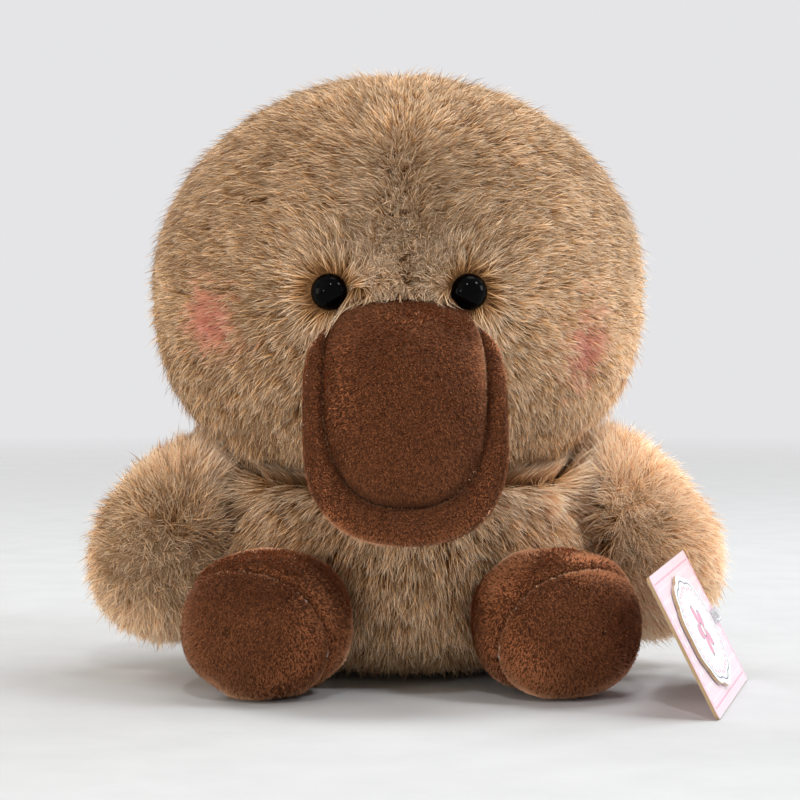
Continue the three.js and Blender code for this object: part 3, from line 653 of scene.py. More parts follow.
def dome(form, rows, columns, height, sign):
    """The upper or lower half of a flat stuffed form: points, faces and how far out each point is, from 0 to 1."""
    tau = np.linspace(0, pi / 2, rows + 1)
    rho, tall = np.sin(tau[1:]) ** (2 / form.rise_up), np.cos(tau[1:]) ** (2 / form.rise_up)
    x, y = outline_point(form, all_round(columns))
    z = sign * height * np.repeat(tall[:, None], columns, 1)
    q = np.stack([rho[:, None] * x, rho[:, None] * y, z], -1).reshape(-1, 3)
    q = np.concatenate([q, [[0, 0, sign * height]]])
    faces = tube_faces(rows, columns) + [[len(q) - 1, k, (k + 1) % columns] for k in range(columns)]
    return q, faces if sign > 0 else flipped(faces), np.concatenate([np.repeat(rho, columns), [0]])


def bill_core():
    """The domed top and the shallower under side, curling back into the face."""
    for part, sign, height in (("top", 1, CORE_UP), ("under", -1, CORE_DOWN)):
        q, faces, rho = dome(CORE, 46, 180, height, sign)
        q[:, 2] += sign * JOIN
        angle = np.arctan2(q[:, 1], q[:, 0])
        q[:, 2] += sign * 0.35 * ripple(angle + rho * 2, 11, 1, 5, 5) * rho * (1 - rho) * 4
        velboa(f"bill_{part}", HEAD.push_out(CORE.place(q), UNDER_PILE), faces, "head")


def bill_rim():
    """The sewn roll round the core, whose two ends slip under the pile."""
    columns = 180
    around = np.linspace(-RIM_SWEEP, RIM_SWEEP, columns)
    phi = around - pi / 2
    ix, iy = outline_point(CORE, phi, grown=0.25)
    iy += CORE.shift - RIM.shift
    ox, oy = outline_point(RIM, np.arctan2(iy / RIM.half[1], ix / RIM.half[0]))
    ends = 0.1 + 0.9 * (1 - ramp01(abs(around), RIM_SWEEP - 0.6, RIM_SWEEP))
    wide = np.clip(np.hypot(ox, oy) - np.hypot(ix, iy), 1.5, None) * ends
    away = unit(np.stack([ix / RIM.half[0] ** 2, iy / RIM.half[1] ** 2], 1))
    pucker = 0.22 * ripple(phi, 6, 26, 46) * ramp01(abs(around), 1.2, 1.8)
    bulge = (1 + 0.05 * ripple(phi, 5, 2, 8, 5) + pucker) * ends
    section = np.linspace(0, 2 * pi, 29)[:-1]
    rows = []
    for t in section:
        across = 0.5 - 0.5 * copysign(abs(cos(t)) ** 0.8, cos(t))
        tall = copysign(abs(sin(t)) ** 0.62, sin(t))
        rows.append(np.stack([ix + away[:, 0] * wide * across, iy + away[:, 1] * wide * across,
                              3.4 * tall * bulge], 1))
    q = np.stack(rows, 1).reshape(-1, 3)
    p = HEAD.push_out(RIM.place(q), UNDER_PILE)
    velboa("bill_rim", p, flipped(closed_tube(columns, len(section))), "head", thick=None)


def tail():
    """Two sewn halves with a puckered edge, lying on the floor."""
    low = TAIL.place(dome(TAIL, 40, 160, TAIL_TALL, -1)[0])
    TAIL.at[2] = -low[:, 2].min() - 0.5
    for part, sign in (("top", 1), ("under", -1)):
        q, faces, rho = dome(TAIL, 44, 160, TAIL_TALL, sign)
        pucker = 0.4 * ripple(np.arctan2(q[:, 1], q[:, 0]), 21 + sign, 14, 40)
        q[:, 2] += sign * (JOIN + pucker * np.clip((rho - 0.75) / 0.2, 0, 1) * np.clip((1 - rho) / 0.04, 0, 1))
        velboa(f"tail_{part}", press(TAIL.place(q), TAIL.flats), faces, "tail")


bill_core()
bill_rim()
tail()


# Stuffing, pouch and the rigid small parts.

def refilled(node, body, material, voxel=2.4):
    """A loose filling with the node's own form, its surface lumpy like fibre."""
    obj = frame["nodes"][node].copy()
    obj.data = obj.data.copy()
    for key in list(obj.keys()):
        del obj[key]
    obj.name = f"{node}_loose"
    obj.parent = None
    bpy.context.scene.collection.objects.link(obj)
    m = obj.modifiers.new("fibre", "REMESH")
    m.mode, m.voxel_size, m.use_smooth_shade = "VOXEL", voxel * MM, True
    recolour(obj, material)
    dress(obj, body, node)


def recolour(obj, material):
    obj.data.materials.clear()
    obj.data.materials.append(material)


for body in ("body", "head", "bill", "arm_left", "arm_right", "foot_left", "foot_right", "tail"):
    refilled(f"{body}_fill", "head" if body == "bill" else body, STUFFING)
refilled("pellet_pouch", "body", pouch_material(), 1.6)
# The right eye's washer keeps the solid's own white.
recolour(frame["nodes"]["eye_washer_left"], mottled(
    "washer_white", (216, 216, 210), (232, 232, 227), 0.0001, 900, Roughness=0.45))
recolour(frame["nodes"]["tag_pin"], pin_material())


def eye_frame(side):
    """The bead's own axes as columns, and where it sits on the face."""
    level = (1 - (EYE_DROP / HEAD_DOWN) ** HEAD_POWER) ** (1 / HEAD_POWER)
    x = side * EYE_SIDE + EYE_ASIDE
    y = -HEAD_DEEP * sqrt(level ** 2 - (x / HEAD_WIDE) ** 2)
    out = unit(np.array([x / HEAD_WIDE ** 2, y / HEAD_DEEP ** 2, 0]))
    across = unit(np.cross(UP, out))
    return np.stack([across, np.cross(out, across), out], 1), HEAD_AT + np.array([x, y, -EYE_DROP])


def eye(name, side, material):
    """A bead and its stem, turned from one profile."""
    turn, at = eye_frame(side)
    edge, point, columns = 0.3, 0.001, 64
    profile = [(point, STEM_END), (STEM_RADIUS - 0.2, STEM_END), (STEM_RADIUS, STEM_END + 0.2),
               (STEM_RADIUS, -EYE_SUNK), (EYE_RADIUS - edge, -EYE_SUNK)]
    profile += [(EYE_RADIUS * cos(t), -EYE_SUNK + edge + (EYE_DOME - edge) * sin(t))
                for t in np.linspace(0, pi / 2, 22)[:-1]] + [(point, EYE_DOME - EYE_SUNK)]
    t = all_round(columns)
    q = np.concatenate([np.stack([r * np.cos(t), r * np.sin(t), np.full(columns, z)], 1) for r, z in profile])
    obj = add_faces(f"eye_{name}_bead", q @ turn.T + at, closed_tube(len(profile), columns), material)
    dress(obj, "head", f"eye_{name}")


EYE_BLACK = eye_material()
for name, side in SIDES:
    eye(name, side, EYE_BLACK)


# Pile: every hair is a thin tapered ribbon.

def ribbons(name, line, flat, wide, taper, shade, tone, material, start=0.0):
    """One mesh of ribbons along line (hair, level, xyz), each ending in a point.

    U of its map is the tone, and V runs from start to the tip.
    """
    count, levels = line.shape[:2]
    steps = levels - 1
    per = 2 * steps + 1
    verts, normal = np.zeros((count, per, 3)), np.zeros((count, per, 3))
    for k in range(steps):
        w = flat * (wide * taper[k] / 2)[:, None]
        verts[:, 2 * k], verts[:, 2 * k + 1] = line[:, k] + w, line[:, k] - w
        normal[:, 2 * k] = normal[:, 2 * k + 1] = shade[:, k]
    verts[:, -1], normal[:, -1] = line[:, -1], shade[:, -1]
    u = np.stack([tone - 0.002, tone + 0.002] * steps + [tone], 1)
    v = np.concatenate([np.repeat(np.arange(steps) / steps, 2), [1.0]])
    start = np.broadcast_to(start, count)[:, None]
    uv = np.stack([u, (start + (1 - start) * v).clip(0.01, 0.99)], -1)
    corners = []
    for k in range(steps - 1):
        corners += [2 * k, 2 * k + 1, 2 * k + 3, 2 * k + 2]
    corners += [per - 3, per - 2, per - 1]
    sizes = np.tile([4] * (steps - 1) + [3], count)
    loops = (np.arange(count)[:, None] * per + np.array(corners)).ravel()
    starts = np.concatenate([[0], np.cumsum(sizes)[:-1]])
    mesh = bpy.data.meshes.new(name)
    mesh.vertices.add(count * per)
    mesh.loops.add(len(loops))
    mesh.polygons.add(len(sizes))

    def put(target, key, values, kind=np.float32):
        target.foreach_set(key, values.astype(kind).ravel())

    put(mesh.vertices, "co", verts * MM)
    put(mesh.loops, "vertex_index", loops, np.int32)
    put(mesh.polygons, "loop_start", starts, np.int32)
    put(mesh.polygons, "use_smooth", np.ones(len(sizes)), bool)
    put(mesh.uv_layers.new(name="OFBake").data, "uv", uv.reshape(-1, 2)[loops])
    mesh.update(calc_edges=True)
    put(mesh.attributes.new("custom_normal", "FLOAT_VECTOR", "POINT").data, "vector", normal)
    return add_object(name, mesh, material)


def laid(lay, n):
    """Directions drawn into the surface whose normals are n."""
    return unit(lay - (lay * n).sum(1, keepdims=True) * n)


def swung(lay, n, turn):
    """Directions turned about the normals n."""
    return lay * np.cos(turn)[:, None] + np.cross(n, lay) * np.sin(turn)[:, None]


def around_root(lay, side, radius, angle):
    return lay * (radius * np.cos(angle))[:, None] + side * (radius * np.sin(angle))[:, None]


def grow(name, body, node, tufts, width, seed, per_tuft, spread=1.7, stray=0.07, avoid=None, slide=(), curl=0.26):
    """Tufts of hair: their roots, normals, lay, length, lift, tint, start on the colour ramp and gather.

    The lay is the way the pile is combed, the lift how steeply it stands, and gather draws a tuft's tips together.
    """
    rng = default_rng(seed)
    roots, n, lay, length, lift, tint, start, gather = tufts
    tint = np.where(tint < 0.72, (tint + rng.normal(0, 0.1, len(tint))).clip(0.01, 0.7), tint)
    lay = laid(lay, n)
    lay = unit(swung(lay, n, rng.normal(0, 0.16, len(roots))))
    length = length * rng.normal(1, 0.09, len(roots)).clip(0.75, 1.25)
    lift = lift + rng.normal(0, 0.05, len(roots))
    tuft = np.repeat(np.arange(len(roots)), per_tuft)
    p, n, lay = roots[tuft], n[tuft], lay[tuft]
    count = len(p)
    radius, angle = spread * np.sqrt(rng.random(count)), rng.uniform(0, 2 * pi, count)
    offset = around_root(lay, np.cross(n, lay), radius, angle)
    lay = swung(lay, n, rng.normal(0, 0.19, count))
    side = np.cross(n, lay)
    loose = rng.random(count) < stray
    long = length[tuft] * rng.uniform(0.7, 1.08, count) * np.where(loose, rng.uniform(1.0, 1.2, count), 1)
    steep = lift[tuft] + rng.normal(0, 0.04, count) + np.where(loose, rng.uniform(0.1, 0.5, count), 0)
    bow = rng.normal(0, curl, count)
    points = [p + offset]
    for k in range(HAIR_STEPS):
        s = (k + 0.5) / HAIR_STEPS
        a = (steep + 0.55 - 0.75 * s).clip(-0.05, 1.5)
        step = n * np.sin(a)[:, None] + lay * np.cos(a)[:, None] + side * (bow * (s - 0.3))[:, None]
        points.append(points[-1] + unit(step) * (long / HAIR_STEPS)[:, None])
    line = np.stack(points, 1)
    s = np.linspace(0, 1, HAIR_STEPS + 1)
    drawn = (gather * rng.uniform(0.3, 1.5, len(roots)))[tuft] * rng.uniform(0.4, 1.3, count) * ~loose
    line -= offset[:, None] * (drawn.clip(0, 0.95)[:, None] * s ** 1.2)[:, :, None]
    for form, off in slide:
        for k in range(1, HAIR_STEPS + 1):
            line[:, k] = form.push_out(line[:, k], off + 0.9 * k / HAIR_STEPS * rng.random(count))
    if avoid is not None:
        tip = avoid(line[:, -1])
        line[tip] = line[tip, :1] + (line[tip] - line[tip, :1]) * 0.6
        keep = ~np.any([avoid(line[:, k]) for k in range(HAIR_STEPS + 1)], 0)
        line, n, side, tuft = line[keep], n[keep], side[keep], tuft[keep]
        count = len(line)
    line[:, :, 2] = np.maximum(line[:, :, 2], 0.15 + 0.9 * rng.random(count)[:, None] * s)
    twist = rng.normal(0, 0.5, count)
    flat = side * np.cos(twist)[:, None] + n * np.sin(twist)[:, None]
    shade = []
    for k in range(HAIR_STEPS + 1):
        face = unit(np.cross(flat, line[:, min(k + 1, HAIR_STEPS)] - line[:, max(k - 1, 0)]))
        face *= np.where((face * n).sum(1, keepdims=True) < 0, -1, 1)
        shade.append(unit(0.45 * n + 0.55 * face))
    tone = tint[tuft]
    tone = np.where(tone < 0.72, (tone + rng.normal(0, 0.23, count)).clip(0.01, 0.7), tone)
    obj = ribbons(name, line, flat, width * rng.uniform(0.7, 1.3, count), (0.7, 1.0, 0.75), np.stack(shade, 1),
                  tone, FUR, start[tuft])
    dress(obj, body, node)


def scatter(p, faces, n, count, seed):
    """Random points on a mesh and their normals; a count that is a float is per square millimetre."""
    rng = default_rng(seed)
    tri = np.array([[f[0], f[k], f[k + 1]] for f in faces for k in range(1, len(f) - 1)])
    area = np.linalg.norm(np.cross(p[tri[:, 1]] - p[tri[:, 0]], p[tri[:, 2]] - p[tri[:, 0]]), axis=1)
    if isinstance(count, float):
        count = int(count * area.sum() / 2)
    pick = rng.choice(len(tri), count, p=area / area.sum())
    a, b = rng.random(count), rng.random(count)
    flip = a + b > 1
    a, b = np.where(flip, 1 - a, a), np.where(flip, 1 - b, b)
    w = np.stack([1 - a - b, a, b], 1)[:, :, None]
    return (p[tri[pick]] * w).sum(1), unit((n[tri[pick]] * w).sum(1))


def blotches(p, size, seed):
    """Soft random patches over points, from about -1 to 1."""
    rng = default_rng(seed)
    total = np.zeros(len(p))
    for _ in range(10):
        k = unit(rng.normal(size=3)) * rng.uniform(0.6, 1.6) * 2 * pi / size
        total += np.sin(p @ k + rng.uniform(0, 2 * pi))
    return total / 4.5


def sideways(x):
    """Directions straight out to each side."""
    return np.where(x > 0, 1.0, -1.0)[:, None] * X


def distance(p, at):
    return np.linalg.norm(p - np.array(at), axis=1)


def away_from(p, centre):
    return unit(p - np.array(centre, float))


def from_core(p):
    """About how many millimetres points lie outside the bill's core."""
    return (CORE.level(p) - 1) * 26


EYES = {side: eye_frame(side)[1] for side in (1, -1)}
BLUSH = ((-64, -50, 126.5), (56.5, -51, 118.0))


def in_bill(p, core, rim):
    return (CORE.level(p, core) < 1) | (RIM.level(p, rim) < 1)


def near_eye(p, reach=6.3):
    return (distance(p, EYES[1]) < reach) | (distance(p, EYES[-1]) < reach)


def head_roots():
    """Where the head's pile grows: outside the bill, the eyes and the neck, and denser on the ridge."""
    roots, n = scatter(head_p, head_f, head_n, 43000, 1)
    in_face = np.where(roots[:, 2] > 116, in_bill(roots, -2.5, -2.5), in_bill(roots, 0.5, 0.0))
    neck = (roots[:, 2] < NECK_Z + 2) & (np.hypot(roots[:, 0] - HEAD_ASIDE, roots[:, 1]) < NECK_BARE)
    keep = ~in_face & ~near_eye(roots, 6.5) & ~neck
    roots, n = roots[keep], n[keep]
    ridge = (abs(roots[:, 0] - HEAD_ASIDE) < 13) & (abs(roots[:, 2] - 154) < 30) & (roots[:, 1] < 0)
    there, up = roots[ridge], n[ridge]
    more = there + default_rng(11).normal(0, 0.7, there.shape)
    more = more - ((more - there) * up).sum(1)[:, None] * up
    return np.concatenate([roots, more]), np.concatenate([n, up])


def head_fur():
    roots, n = head_roots()
    x, y, z = (roots - [HEAD_ASIDE, 0, 0]).T
    outward = sideways(x)
    front = 1 - ramp01(y, -5, 45)
    # The face's pile fans out from a short ridge of standing hair between the brow and the bill.
    rise = z - np.clip(z, *RIDGE)
    stand = bell(np.hypot(x, rise), 4.5 + 8 * (1 - ramp01(z, 141, 172))) * front
    lay = (unit(np.stack([x, 0 * x, rise], 1)) + 0.5 * ramp01(z, 176, 200)[:, None] * UP) * front[:, None]
    lay[:, 2] += ramp01(-z, -126, -84) * -0.9 * front
    lay += (1 - front)[:, None] * (np.array([0, 0.35, -1.0]) + 0.25 * outward)
    lay[:, 1] += ramp01(z, 175, 205) * (1 - front)
    # It is combed away from the eyes, and aside below them.
    near = np.zeros(len(roots))
    for eye_at in EYES.values():
        d = distance(roots, eye_at)
        under = ramp01(eye_at[2] + 3 - z, 0, 5) * ramp01(abs(eye_at[0]) + 3 - abs(x), 0, 5)
        lay += away_from(roots, eye_at) * (2.6 * bell(d, 20) * (1 - 0.8 * under))[:, None]
        lay += (outward * 0.9 + DOWN * 0.6) * (2.4 * under * bell(d, 14))[:, None]
        near = np.maximum(near, bell(d, 15))
    # Round the bill's root it lies over the bill.
    edge = bell(from_core(roots), 5) * ramp01(z, 112, 124)
    lay += unit(np.stack([-x, 0 * x, 112 - z], 1)) * (3.5 * edge)[:, None]
    corner = edge * bell(abs(x) - 20, 8)
    jowl = ramp01(-z, -92, -78) * ramp01(abs(x), 40, 54)
    length = 8.6 + 1.2 * near - 2.6 * stand + 1.0 * edge + 3.0 * corner + 4.0 * jowl
    lift = 0.2 - 0.06 * near + 0.6 * stand * (1 - edge) + 0.4 * (1 - ramp01(z, 76, 92))
    lay += default_rng(9).normal(0, 1, lay.shape) * (1.4 * stand * (1 - edge))[:, None]
    # Painted light from the lamps' side: the tint grows lighter toward +x, the toy's left, below the crown, and a
    # little from -x to +x all over.
    painted_light = 0.33 * ramp01(x, 15, 80) * ramp01(-z, -165, -120)
    tint = 0.18 + 0.04 * ramp01(x, -60, 0) + painted_light
    for share, size, seed in ((0.09, 26, 3), (0.05, 9, 4), (0.05, 4, 6)):
        tint += share * blotches(roots, size, seed)
    # Lighter round the eyes, painted light against the shade there, lighter where the hair lies over the bill's
    # root, and on the crown, painted light from above.
    tint += 0.12 * near + 0.1 * edge + 0.05 * ramp01(z, 180, 205)
    # Painted shade: darker in the parting, on the standing ridge and over the middle of the forehead.
    tint -= 0.12 * bell(x, 5.5) * ramp01(z, 156, 166) * (1 - ramp01(z, 180, 192)) * front + 0.06 * stand
    tint -= 0.16 * np.exp(-(x / 20) ** 2 - ((z - 158) / 19) ** 2) * front
    tint = tint.clip(0.03, 0.69)
    chance = default_rng(10).random(len(roots))
    for centre in BLUSH:
        blush = bell(distance(roots, centre), 10.5, 2.4)
        tint = np.where(chance < blush, 0.86 + 0.09 * blush, tint)
    start = 0.08 + 0.4 * near + 0.2 * edge + 0.12 * stand
    tufts = [roots, n, lay, length, lift, tint, start, 0.55 - 0.45 * stand]
    parts = {"front": (y < HEAD_SEAM_Y, FINE, 9,
                       {"crown": z > 160, "brow": (z > 111) & (z <= 160), "cheek": z <= 111}),
             "back": (y >= HEAD_SEAM_Y, COARSE, 5, {"back": z > 128, "nape": z <= 128})}
    for name, s in SIDES:
        for part, (there, width, per_tuft, levels) in parts.items():
            for k, (level, high) in enumerate(levels.items()):
                m = there & (outward[:, 0] == s) & high
                grow(f"head_{level}_{name}_fur", "head", f"head_{part}_{name}", [t[m] for t in tufts], width,
                     100 + s + 10 * k + len(part), per_tuft, 1.4, avoid=near_eye,
                     slide=((CORE, 0.35), (RIM, 0.35)))


def body_fur():
    roots, n = scatter(body_p, body_f, body_n, 18500, 2)
    keep = TAIL.level(roots, 3.0) > 1
    keep &= (roots[:, 2] <= NECK_Z - 4) | (np.hypot(roots[:, 0], roots[:, 1]) >= NECK_BARE)
    for s in (1, -1):
        keep &= (FEET[s].level(roots, 3.0) > 1) & (ARMS[s].level(roots, 0.3) > 1)
    roots, n = roots[keep], n[keep]
    x, y, z = roots.T
    lay = 0.75 * away_from(roots, [0, -30, 66]) + np.array([0, 0, -0.75])
    lay += 0.3 * sideways(x) * ramp01(abs(x), 5, 40)[:, None]
    flat = ramp01(-z, -12, -3)
    collar = ramp01(z, 60, 66)
    shoulder = collar * ramp01(abs(x), 44, 54)
    lay[:, 2] += shoulder * 1.2
    length = 9.5 * (1 - 0.4 * flat) + 2.5 * collar + 7.5 * shoulder
    lift = 0.17 - 0.12 * flat + 0.45 * collar + 0.5 * shoulder
    # Painted light: lighter toward +x, the toy's left, higher up; painted shade: darker toward the floor.
    tint = 0.28 + 0.25 * ramp01(x, 5, 50) * ramp01(z, 25, 55)
    tint = tint + 0.09 * blotches(roots, 22, 13) + 0.05 * blotches(roots, 8, 14) - 0.1 * ramp01(-z, -22, -2)
    tufts = [roots, n, lay, length, lift, tint.clip(0.03, 0.69), 0.12 + 0.3 * collar, np.full(len(x), 0.38)]

    def blocked(q):
        return (FEET[1].level(q, -0.5) < 1) | (FEET[-1].level(q, -0.5) < 1) | (TAIL.level(q, -0.3) < 1)

    base, back = z < BASE_SEAM_Z, y >= BODY_SEAM_Y
    pieces = {"body_base": ("body_base", base, 0.42, 5)}
    for name, s in SIDES:
        half = ~base & (sideways(x)[:, 0] == s)
        pieces[f"body_front_{name}"] = "body_front", half & ~back, 0.23, 9
        pieces[f"body_back_{name}"] = f"body_back_{name}", half & back, 0.42, 5
    for k, (name, (node, m, width, per_tuft)) in enumerate(pieces.items()):
        grow(f"{name}_fur", "body", node, [t[m] for t in tufts], width, 200 + k, per_tuft, 1.5, avoid=blocked,
             slide=((HEAD, -1.0),))


def arm_fur(name, s):
    p, faces, normals = arm_skins[s]
    roots, n = scatter(p, faces, normals, 8600, 30 + s)
    keep = (abs(roots[:, 0]) > SHOULDER[0] + 0.4) & (FEET[s].level(roots, 1.0) > 1)
    roots, n = roots[keep], n[keep]
    x, y, z = roots.T
    # The pile fans out from a whorl of standing hair in the middle of the hand.
    middle = SHOULDER * [s, 1, 1] + ([6, 0, 4] if s > 0 else [-19, 0, -8])
    from_middle = (roots - middle) * [1, 0.15, 1]
    reach = np.linalg.norm(from_middle, axis=1)
    lay = unit(from_middle) * np.minimum(1, reach / 20)[:, None] + np.array([s * 0.25, 0, -0.3])
    whorl = bell(reach, 16)
    lay = laid(lay, n) + default_rng(31 + s).normal(0, 1.5, lay.shape) * whorl[:, None]
    lay = swung(lay, n, 0.4 * blotches(roots, 24, 25 + s) + (0.7 + 0.6 * blotches(roots, 8, 27)) * whorl)
    pit = (1 - ramp01(abs(x), 70, 84)) * ramp01(z, 50, 62)
    lay += pit[:, None] * np.array([-s * 1.2, 0, 1.2])
    lift = 0.22 + 0.25 * whorl + 0.4 * pit
    # Painted shade on the inner side by the body and round a point of the hand, from which dark is measured;
    # painted light toward the hand's rim and on the left arm (s = 1), which faces the lamps.
    inner_painted_shade = 1 - ramp01(abs(x), SHOULDER[0], SHOULDER[0] + 26)
    dark = distance(from_middle, [9, 0, -8] if s > 0 else [0, 0, 0])
    tint = 0.36 + 0.18 * s + 0.42 * ramp01(dark, 8, 28)
    tint = tint + 0.08 * blotches(roots, 20, 23) + 0.05 * blotches(roots, 7, 24) - 0.15 * inner_painted_shade
    tufts = [roots, n, lay, 10.5 + 5.0 * pit, lift, tint.clip(0.03, 0.69),
             0.25 * ramp01(dark, 12, 27) + 0.2 * whorl, 0.45 - 0.2 * whorl]
    for where, m, width in (("front", y < SHOULDER[1], 0.23), ("back", y >= SHOULDER[1], 0.4)):
        grow(f"arm_{name}_{where}_fur", f"arm_{name}", f"arm_{name}_{where}", [t[m] for t in tufts], width,
             300 + s + len(where), 8, 1.6, stray=0.14, avoid=lambda q: FEET[s].level(q) < 1,
             slide=((HEAD, -1.0), (BODY, -1.5)), curl=0.35)


def nap_tone(node, roots, tone):
    """The short pile's tone, with painted light on its edges and upper parts, and how deep it lies in a seam, from
    0 to 1, which also paints shade there.
    """
    crease = np.zeros(len(roots))
    if node.startswith("foot"):
        q = FEET[1 if "left" in node else -1].unplace(roots)
        zigzag = 0.6 * ripple(np.arctan2(q[:, 2], q[:, 0]), 90, 30, 60)
        # Painted shade in the sole's seam, and painted sheen that lightens the foot toward its edges.
        crease = bell(from_sole_seam(q) + zigzag, 1.5)
        tone = tone + (0.8 * ramp01(np.hypot(q[:, 0] / 27, q[:, 2] / 24.75), 0.55, 1.05) - 0.1)
    elif node.startswith("bill"):
        q = CORE.unplace(roots)
        # Painted sheen: the bill lightens toward its flanks.
        painted_sheen = ramp01(abs(q[:, 0]), 15, 27)
        if node == "bill_rim":
            # Painted shade in the crease against the core.
            crease = bell(np.clip(from_core(roots), 0, 99), 2.4) * 0.7
            tone = tone + (0.12 + 0.55 * painted_sheen)
        else:
            # Painted shade where the core meets the rim, painted light from above on the upper part, and painted
            # sheen on the flanks.
            crease = 0.8 * bell(np.clip(abs(q[:, 2]) - 2.5, 0, 99), 3.0)
            tone = tone + (0.4 * (ramp01(roots[:, 2], 62, 118) - 0.3) + 0.35 * painted_sheen)
    return tone, crease


def short_pile(k, node, body, p, faces):
    """The brushed nap of a piece: little tufts of hairs of about a millimetre."""
    rng = default_rng(500 + k)
    roots, n = scatter(p, faces, normals_of(p, faces), 2.8, 520 + k)
    keep = roots[:, 2] > 0.4
    if node.startswith("bill"):
        keep &= HEAD.level(roots, -0.5) > 1
    roots, n = roots[keep], n[keep]
    patches = [blotches(roots, 45, seed) for seed in (60, 61, 62)]
    lay = laid(np.stack(patches, 1) - [0, 0, 1.2] + rng.normal(0, 0.3, (len(roots), 3)), n)
    side = np.cross(n, lay)
    tone = 0.5 + 0.05 * blotches(roots, 14, 70) + 0.06 * blotches(roots, 2.4, 71) + rng.normal(0, 0.09, len(roots))
    tone, crease = nap_tone(node, roots, tone)
    tuft = np.repeat(np.arange(len(roots)), 3)
    count = len(tuft)
    radius, turn = 0.33 * np.sqrt(rng.random(count)), rng.uniform(0, 2 * pi, count)
    offset = around_root(lay[tuft], side[tuft], radius, turn)
    rise = 0.85 + rng.normal(0, 0.22, len(roots))[tuft] + rng.normal(0, 0.12, count)
    a = rise.clip(0.2, 1.5)[:, None]
    long = (rng.uniform(0.65, 1.1, count) * (1 - 0.4 * crease[tuft]))[:, None]
    base, n, lay = roots[tuft] + offset, n[tuft], lay[tuft]
    tip = base - 0.55 * offset + (n * np.sin(a) + lay * np.cos(a)) * long
    tip[:, 2] = np.maximum(tip[:, 2], 0.1)
    line = np.stack([base - 0.15 * n, tip], 1)
    # Painted shade: the pile darkens in the seams and creases.
    tone = ((tone - 0.55 * crease)[tuft] + rng.normal(0, 0.07, count)).clip(0.02, 0.98)
    shade = unit(0.7 * n + 0.3 * unit(tip - base))
    obj = ribbons(f"{node}_pile", line, np.cross(n, lay), rng.uniform(0.26, 0.4, count), (1.0,),
                  np.stack([shade, shade], 1), tone, PILE)
    dress(obj, body, node)


head_fur()
body_fur()
for name, side in SIDES:
    arm_fur(name, side)
for k, piece in enumerate(SHORT_PILE):
    short_pile(k, *piece)


# Hang tag: a printed card that stands on one long edge, and a scalloped board on it.

CARD_LENGTH, CARD_WIDTH, CARD_THICK, HOLE_FROM_TOP = 93.0, 50.0, 1.1, 6.0
BOARD_HALF, BOARD_AT, BOARD_THICK = (30.0, 20.0), 44.0, 1.2
BOARD_LOW = CARD_THICK / 2 + SEAM_GAP
SCALLOPS, SCALLOP_DEPTH = 10, 1.2
TAG_CORNER = np.array([117.5, -32.5, 0])
TAG_TURN, TAG_LEAN = radians(14), radians(63)


def tag_frame():
    """The card's own axes as columns, and the middle of its hole."""
    along = np.array([-sin(TAG_TURN), -cos(TAG_TURN), 0])
    rising = np.array([along[1], -along[0], 0]) * cos(TAG_LEAN) + UP * sin(TAG_LEAN)
    at = TAG_CORNER + UP * CARD_THICK / 2 * cos(TAG_LEAN) + along * HOLE_FROM_TOP + rising * CARD_WIDTH / 2
    return np.stack([along, -rising, np.cross(along, -rising)], 1), at


TAG_AXES, TAG_AT = tag_frame()


def print_place(m):
    """X along the card, Y across it and Z out of its printed face, in millimetres from the hole."""
    where = {"Vector": m.node("TexCoord").outputs["Object"], "Location": (TAG_AT * MM).tolist(),
             "Rotation": Matrix(TAG_AXES.tolist()).to_euler()}
    own = m.value("VectorMath", {0: m.value("Mapping", where, vector_type="TEXTURE"), 3: 1000.0}, operation="SCALE")
    return own, *[Value(m, socket) for socket in m.node("SeparateXYZ", {0: own}).outputs]


def printed(m, at, off, half, colour, dark, light):
    """The print on both faces of a sheet, and bare board fibre on its cut edge."""
    return m.mix(abs(off) > half, m.speckle(m.noise(at, 3.0, 4), dark, light), colour)


def card_material():
    """Pale pink print with a stitched border and a dotted band, on grey-brown board."""
    m = Nodes("tag_card_print").set(Roughness=0.38, Coat_Weight=0.15, Coat_Roughness=0.2)
    at, x, y, z = print_place(m)
    middle = CARD_LENGTH / 2 - HOLE_FROM_TOP
    edge = (CARD_WIDTH / 2 - abs(y)).least(CARD_LENGTH / 2 - abs(x - middle))
    paper = m.noise(at, 0.6, 4)
    colour = m.speckle(paper, (238, 214, 226), (243, 222, 232))
    colour = m.mix(x.near(middle, middle + 4.5), srgb(240, 184, 206), colour)
    dash = ((x + y) * 1.9).sine() > -0.2
    colour = m.mix(edge.near(3.2, 0.32) * dash, colour, srgb(222, 120, 160))
    grid = {"Vector": m.value("CombineXYZ", {0: x, 1: y}), "Scale": 0.2, "Randomness": 0.0}
    spot = m.value("TexVoronoi", grid) < 0.2
    colour = m.mix(spot * (edge > 5.2), colour, srgb(252, 245, 249))
    colour = printed(m, at, z, CARD_THICK / 2 - 0.03, colour, (178, 148, 104), (206, 178, 134))
    return m.finish(colour, paper, 0.00004)


